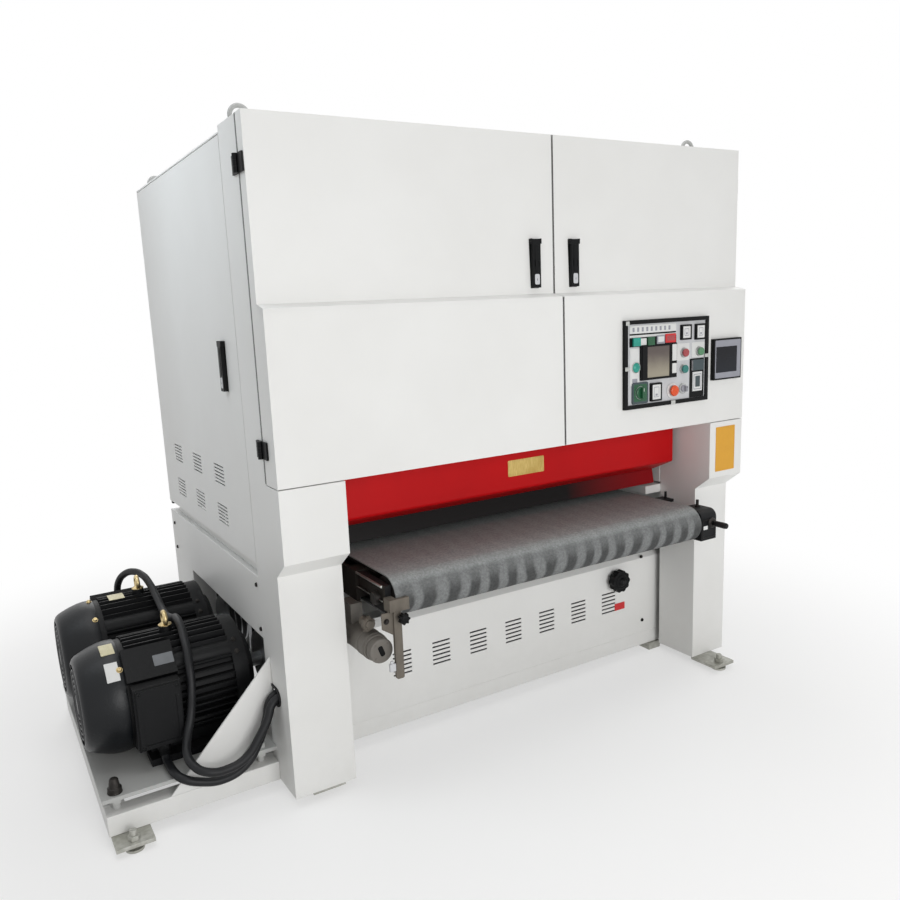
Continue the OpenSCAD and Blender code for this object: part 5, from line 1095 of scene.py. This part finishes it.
for start, share in gear["drives"]:
    x0 = gear["x"] + start * gear["wide"]
    x1 = x0 + gear["driveWide"] * gear["wide"]
    z = gear["low"] + share * gear["tall"]
    low, high = z - gear["driveReach"][0] * gear["tall"], z + gear["driveReach"][1] * gear["tall"]
    case = [(f, low), (f - 96, low), (f - 111, low + 26), (f - 111, high - 18), (f - 104, high), (f, high)]
    prism(tops, case, 0, x0, x1)
    prism(bodies, roundRect(x0 + 38, x1 - 38, high - 62, high - 26, 3), 1, f - 110.5, f - 112)
    for j in range(gear["driveSlots"]):
        for x in (x0 - 0.6, x1 - 1.4):
            prism(bodies, roundRect(f - 90, f - 20, low + 34 + 9 * j, low + 38 + 9 * j, 1.9), 0, x, x + 2)
start, pitch, count = gear["ducts"]
half = gear["ductHalf"] * gear["tall"]
wide, thick = gear["tooth"]
for k in range(count):
    z = gear["low"] + (start + pitch * k) * gear["tall"]
    for near, far in ((0.2, 4), (54, 60)):
        prism(ducts, roundRect(gear["x"], right, z - half, z + half, 1), 1, y - near, y - far)
    for i in range(gear["teeth"]):
        x = gear["x"] + 4 + gear["toothPitch"] * i
        for edge in (z - half, z + half - thick):
            tooth = [(x, edge), (x + wide, edge), (x + wide, edge + thick), (x, edge + thick)]
            prism(ducts, tooth, 1, y - 3.8, y - 54.2)
piece("gear_board", board, "frame", "galvanised", 0.6, ("electrical_board",))
piece("gear_shelf", shelf, "frame", "white", 0.6, ("electrical_board",))
piece("gear_rails", rails, "frame", "zinc", 0.3, ("electrical_board",))
piece("gear_bodies", bodies, "frame", "blackAbs", 0.8, ("electrical_board",))
piece("gear_covers", tops, "frame", "greyAbs", 0.8, ("electrical_board",))
piece("gear_marks", marks, "frame", "pale", 0.3)
piece("gear_screws", screws, "frame", "brass", 0.0)
piece("gear_ducts", ducts, "frame", "greyAbs", 0.0, ("electrical_board",))
print("electrical board")

# floor, light and background; lamps have place, aim, size, power, spread and colour
white = toLinear("#FFFFFF")
studio = {"background": 1.0, "ambient": 0.34, "floorRadius": 14.0, "cloudSize": 714, "fade": (1.4, 2.8, 0.5),
          "lamps": {"key": ((-0.3, -5.2, 1.6), (0.3, -0.6, 0.5), 3.0, 106.0, 180, white),
                    "top": ((0.0, 0.0, 5.6), (0.0, 0.0, 0.0), 5.0, 110.0, 180, white),
                    "left": ((-2.0, 0.1, 3.1), (-0.69, 0.0, 1.95), 0.9, 3.2, 70, toLinear("#ECF7FF")),
                    "right": ((4.4, 0.4, 3.2), (0.9, 0.2, 1.2), 2.6, 30.0, 180, white),
                    "rear": ((0.5, 5.4, 3.6), (0.2, 0.5, 1.0), 4.0, 55.0, 180, white)}}


def plainRays(tree):  # rays of the camera, of mirrors and of glass, which meet the plain background
    ray = addNode(tree, "LightPath", {})
    mirror = addNode(tree, "Math", {0: ray["Is Camera Ray"], 1: ray["Is Glossy Ray"]},
                     operation="MAXIMUM")["Value"]
    return addNode(tree, "Math", {0: mirror, 1: ray["Is Transmission Ray"]}, operation="MAXIMUM")["Value"]


floorData = bpy.data.meshes.new("floor")
disc = bmesh.new()
bmesh.ops.create_circle(disc, cap_ends=True, segments=96, radius=studio["floorRadius"])
disc.to_mesh(floorData)
disc.free()
floor = bpy.data.objects.new("floor", floorData)
scene.collection.objects.link(floor)

# matt floor paint: pale and slightly uneven, plain white away from the machine so that its edge never shows
floorMat, tree, shader, place = startMaterial("matt_painted_floor_pale")
dull = addNode(tree, "TexNoise", {"Vector": place, "Scale": metre / studio["cloudSize"], "Detail": 3.0})["Fac"]
tint = addNode(tree, "Mix", {"Factor": dull, "A": toLinear("#F6F6F5"), "B": toLinear("#F1F1F0")},
               data_type="RGBA")["Result"]
setShader(tree, shader, Base_Color=tint, Roughness=0.9)
span = addNode(tree, "VectorMath", {0: place}, operation="LENGTH")["Value"]
near, far, least = studio["fade"]
away = addNode(tree, "MapRange", {"Value": span, "From Min": near, "From Max": far, "To Min": least},
               interpolation_type="SMOOTHSTEP")["Result"]
seen = addNode(tree, "Math", {0: away, 1: plainRays(tree)}, operation="MULTIPLY")["Value"]
plain = addNode(tree, "Emission", {"Color": white, "Strength": studio["background"]})["Emission"]
join = addNode(tree, "MixShader", {0: seen, 1: shader.outputs["BSDF"], 2: plain})["Shader"]
tree.links.new(join, tree.nodes["Material Output"].inputs["Surface"])
floorData.materials.append(floorMat)

world = bpy.data.worlds.new("studio")
scene.world = world
world.use_nodes = True
tree = world.node_tree
sky = tree.nodes["Background"]
sky.inputs["Color"].default_value = white
sky.inputs["Strength"].default_value = studio["ambient"]
backdrop = addNode(tree, "Background", {"Color": white, "Strength": studio["background"]})["Background"]
join = addNode(tree, "MixShader", {0: plainRays(tree), 1: sky.outputs["Background"],
                                   2: backdrop})["Shader"]
tree.links.new(join, tree.nodes["World Output"].inputs["Surface"])
for name, (spot, aim, size, power, spread, colour) in studio["lamps"].items():
    lampData = bpy.data.lights.new(name, "AREA")
    lampData.shape = "DISK"
    lampData.size = size
    lampData.energy = power
    lampData.spread = math.radians(spread)
    lampData.color = colour[:3]
    lamp = bpy.data.objects.new(name, lampData)
    scene.collection.objects.link(lamp)
    lamp.location = spot
    lamp.rotation_euler = (Vector(aim) - Vector(spot)).to_track_quat("-Z", "Y").to_euler()
print("studio set")

bpy.context.view_layer.update()
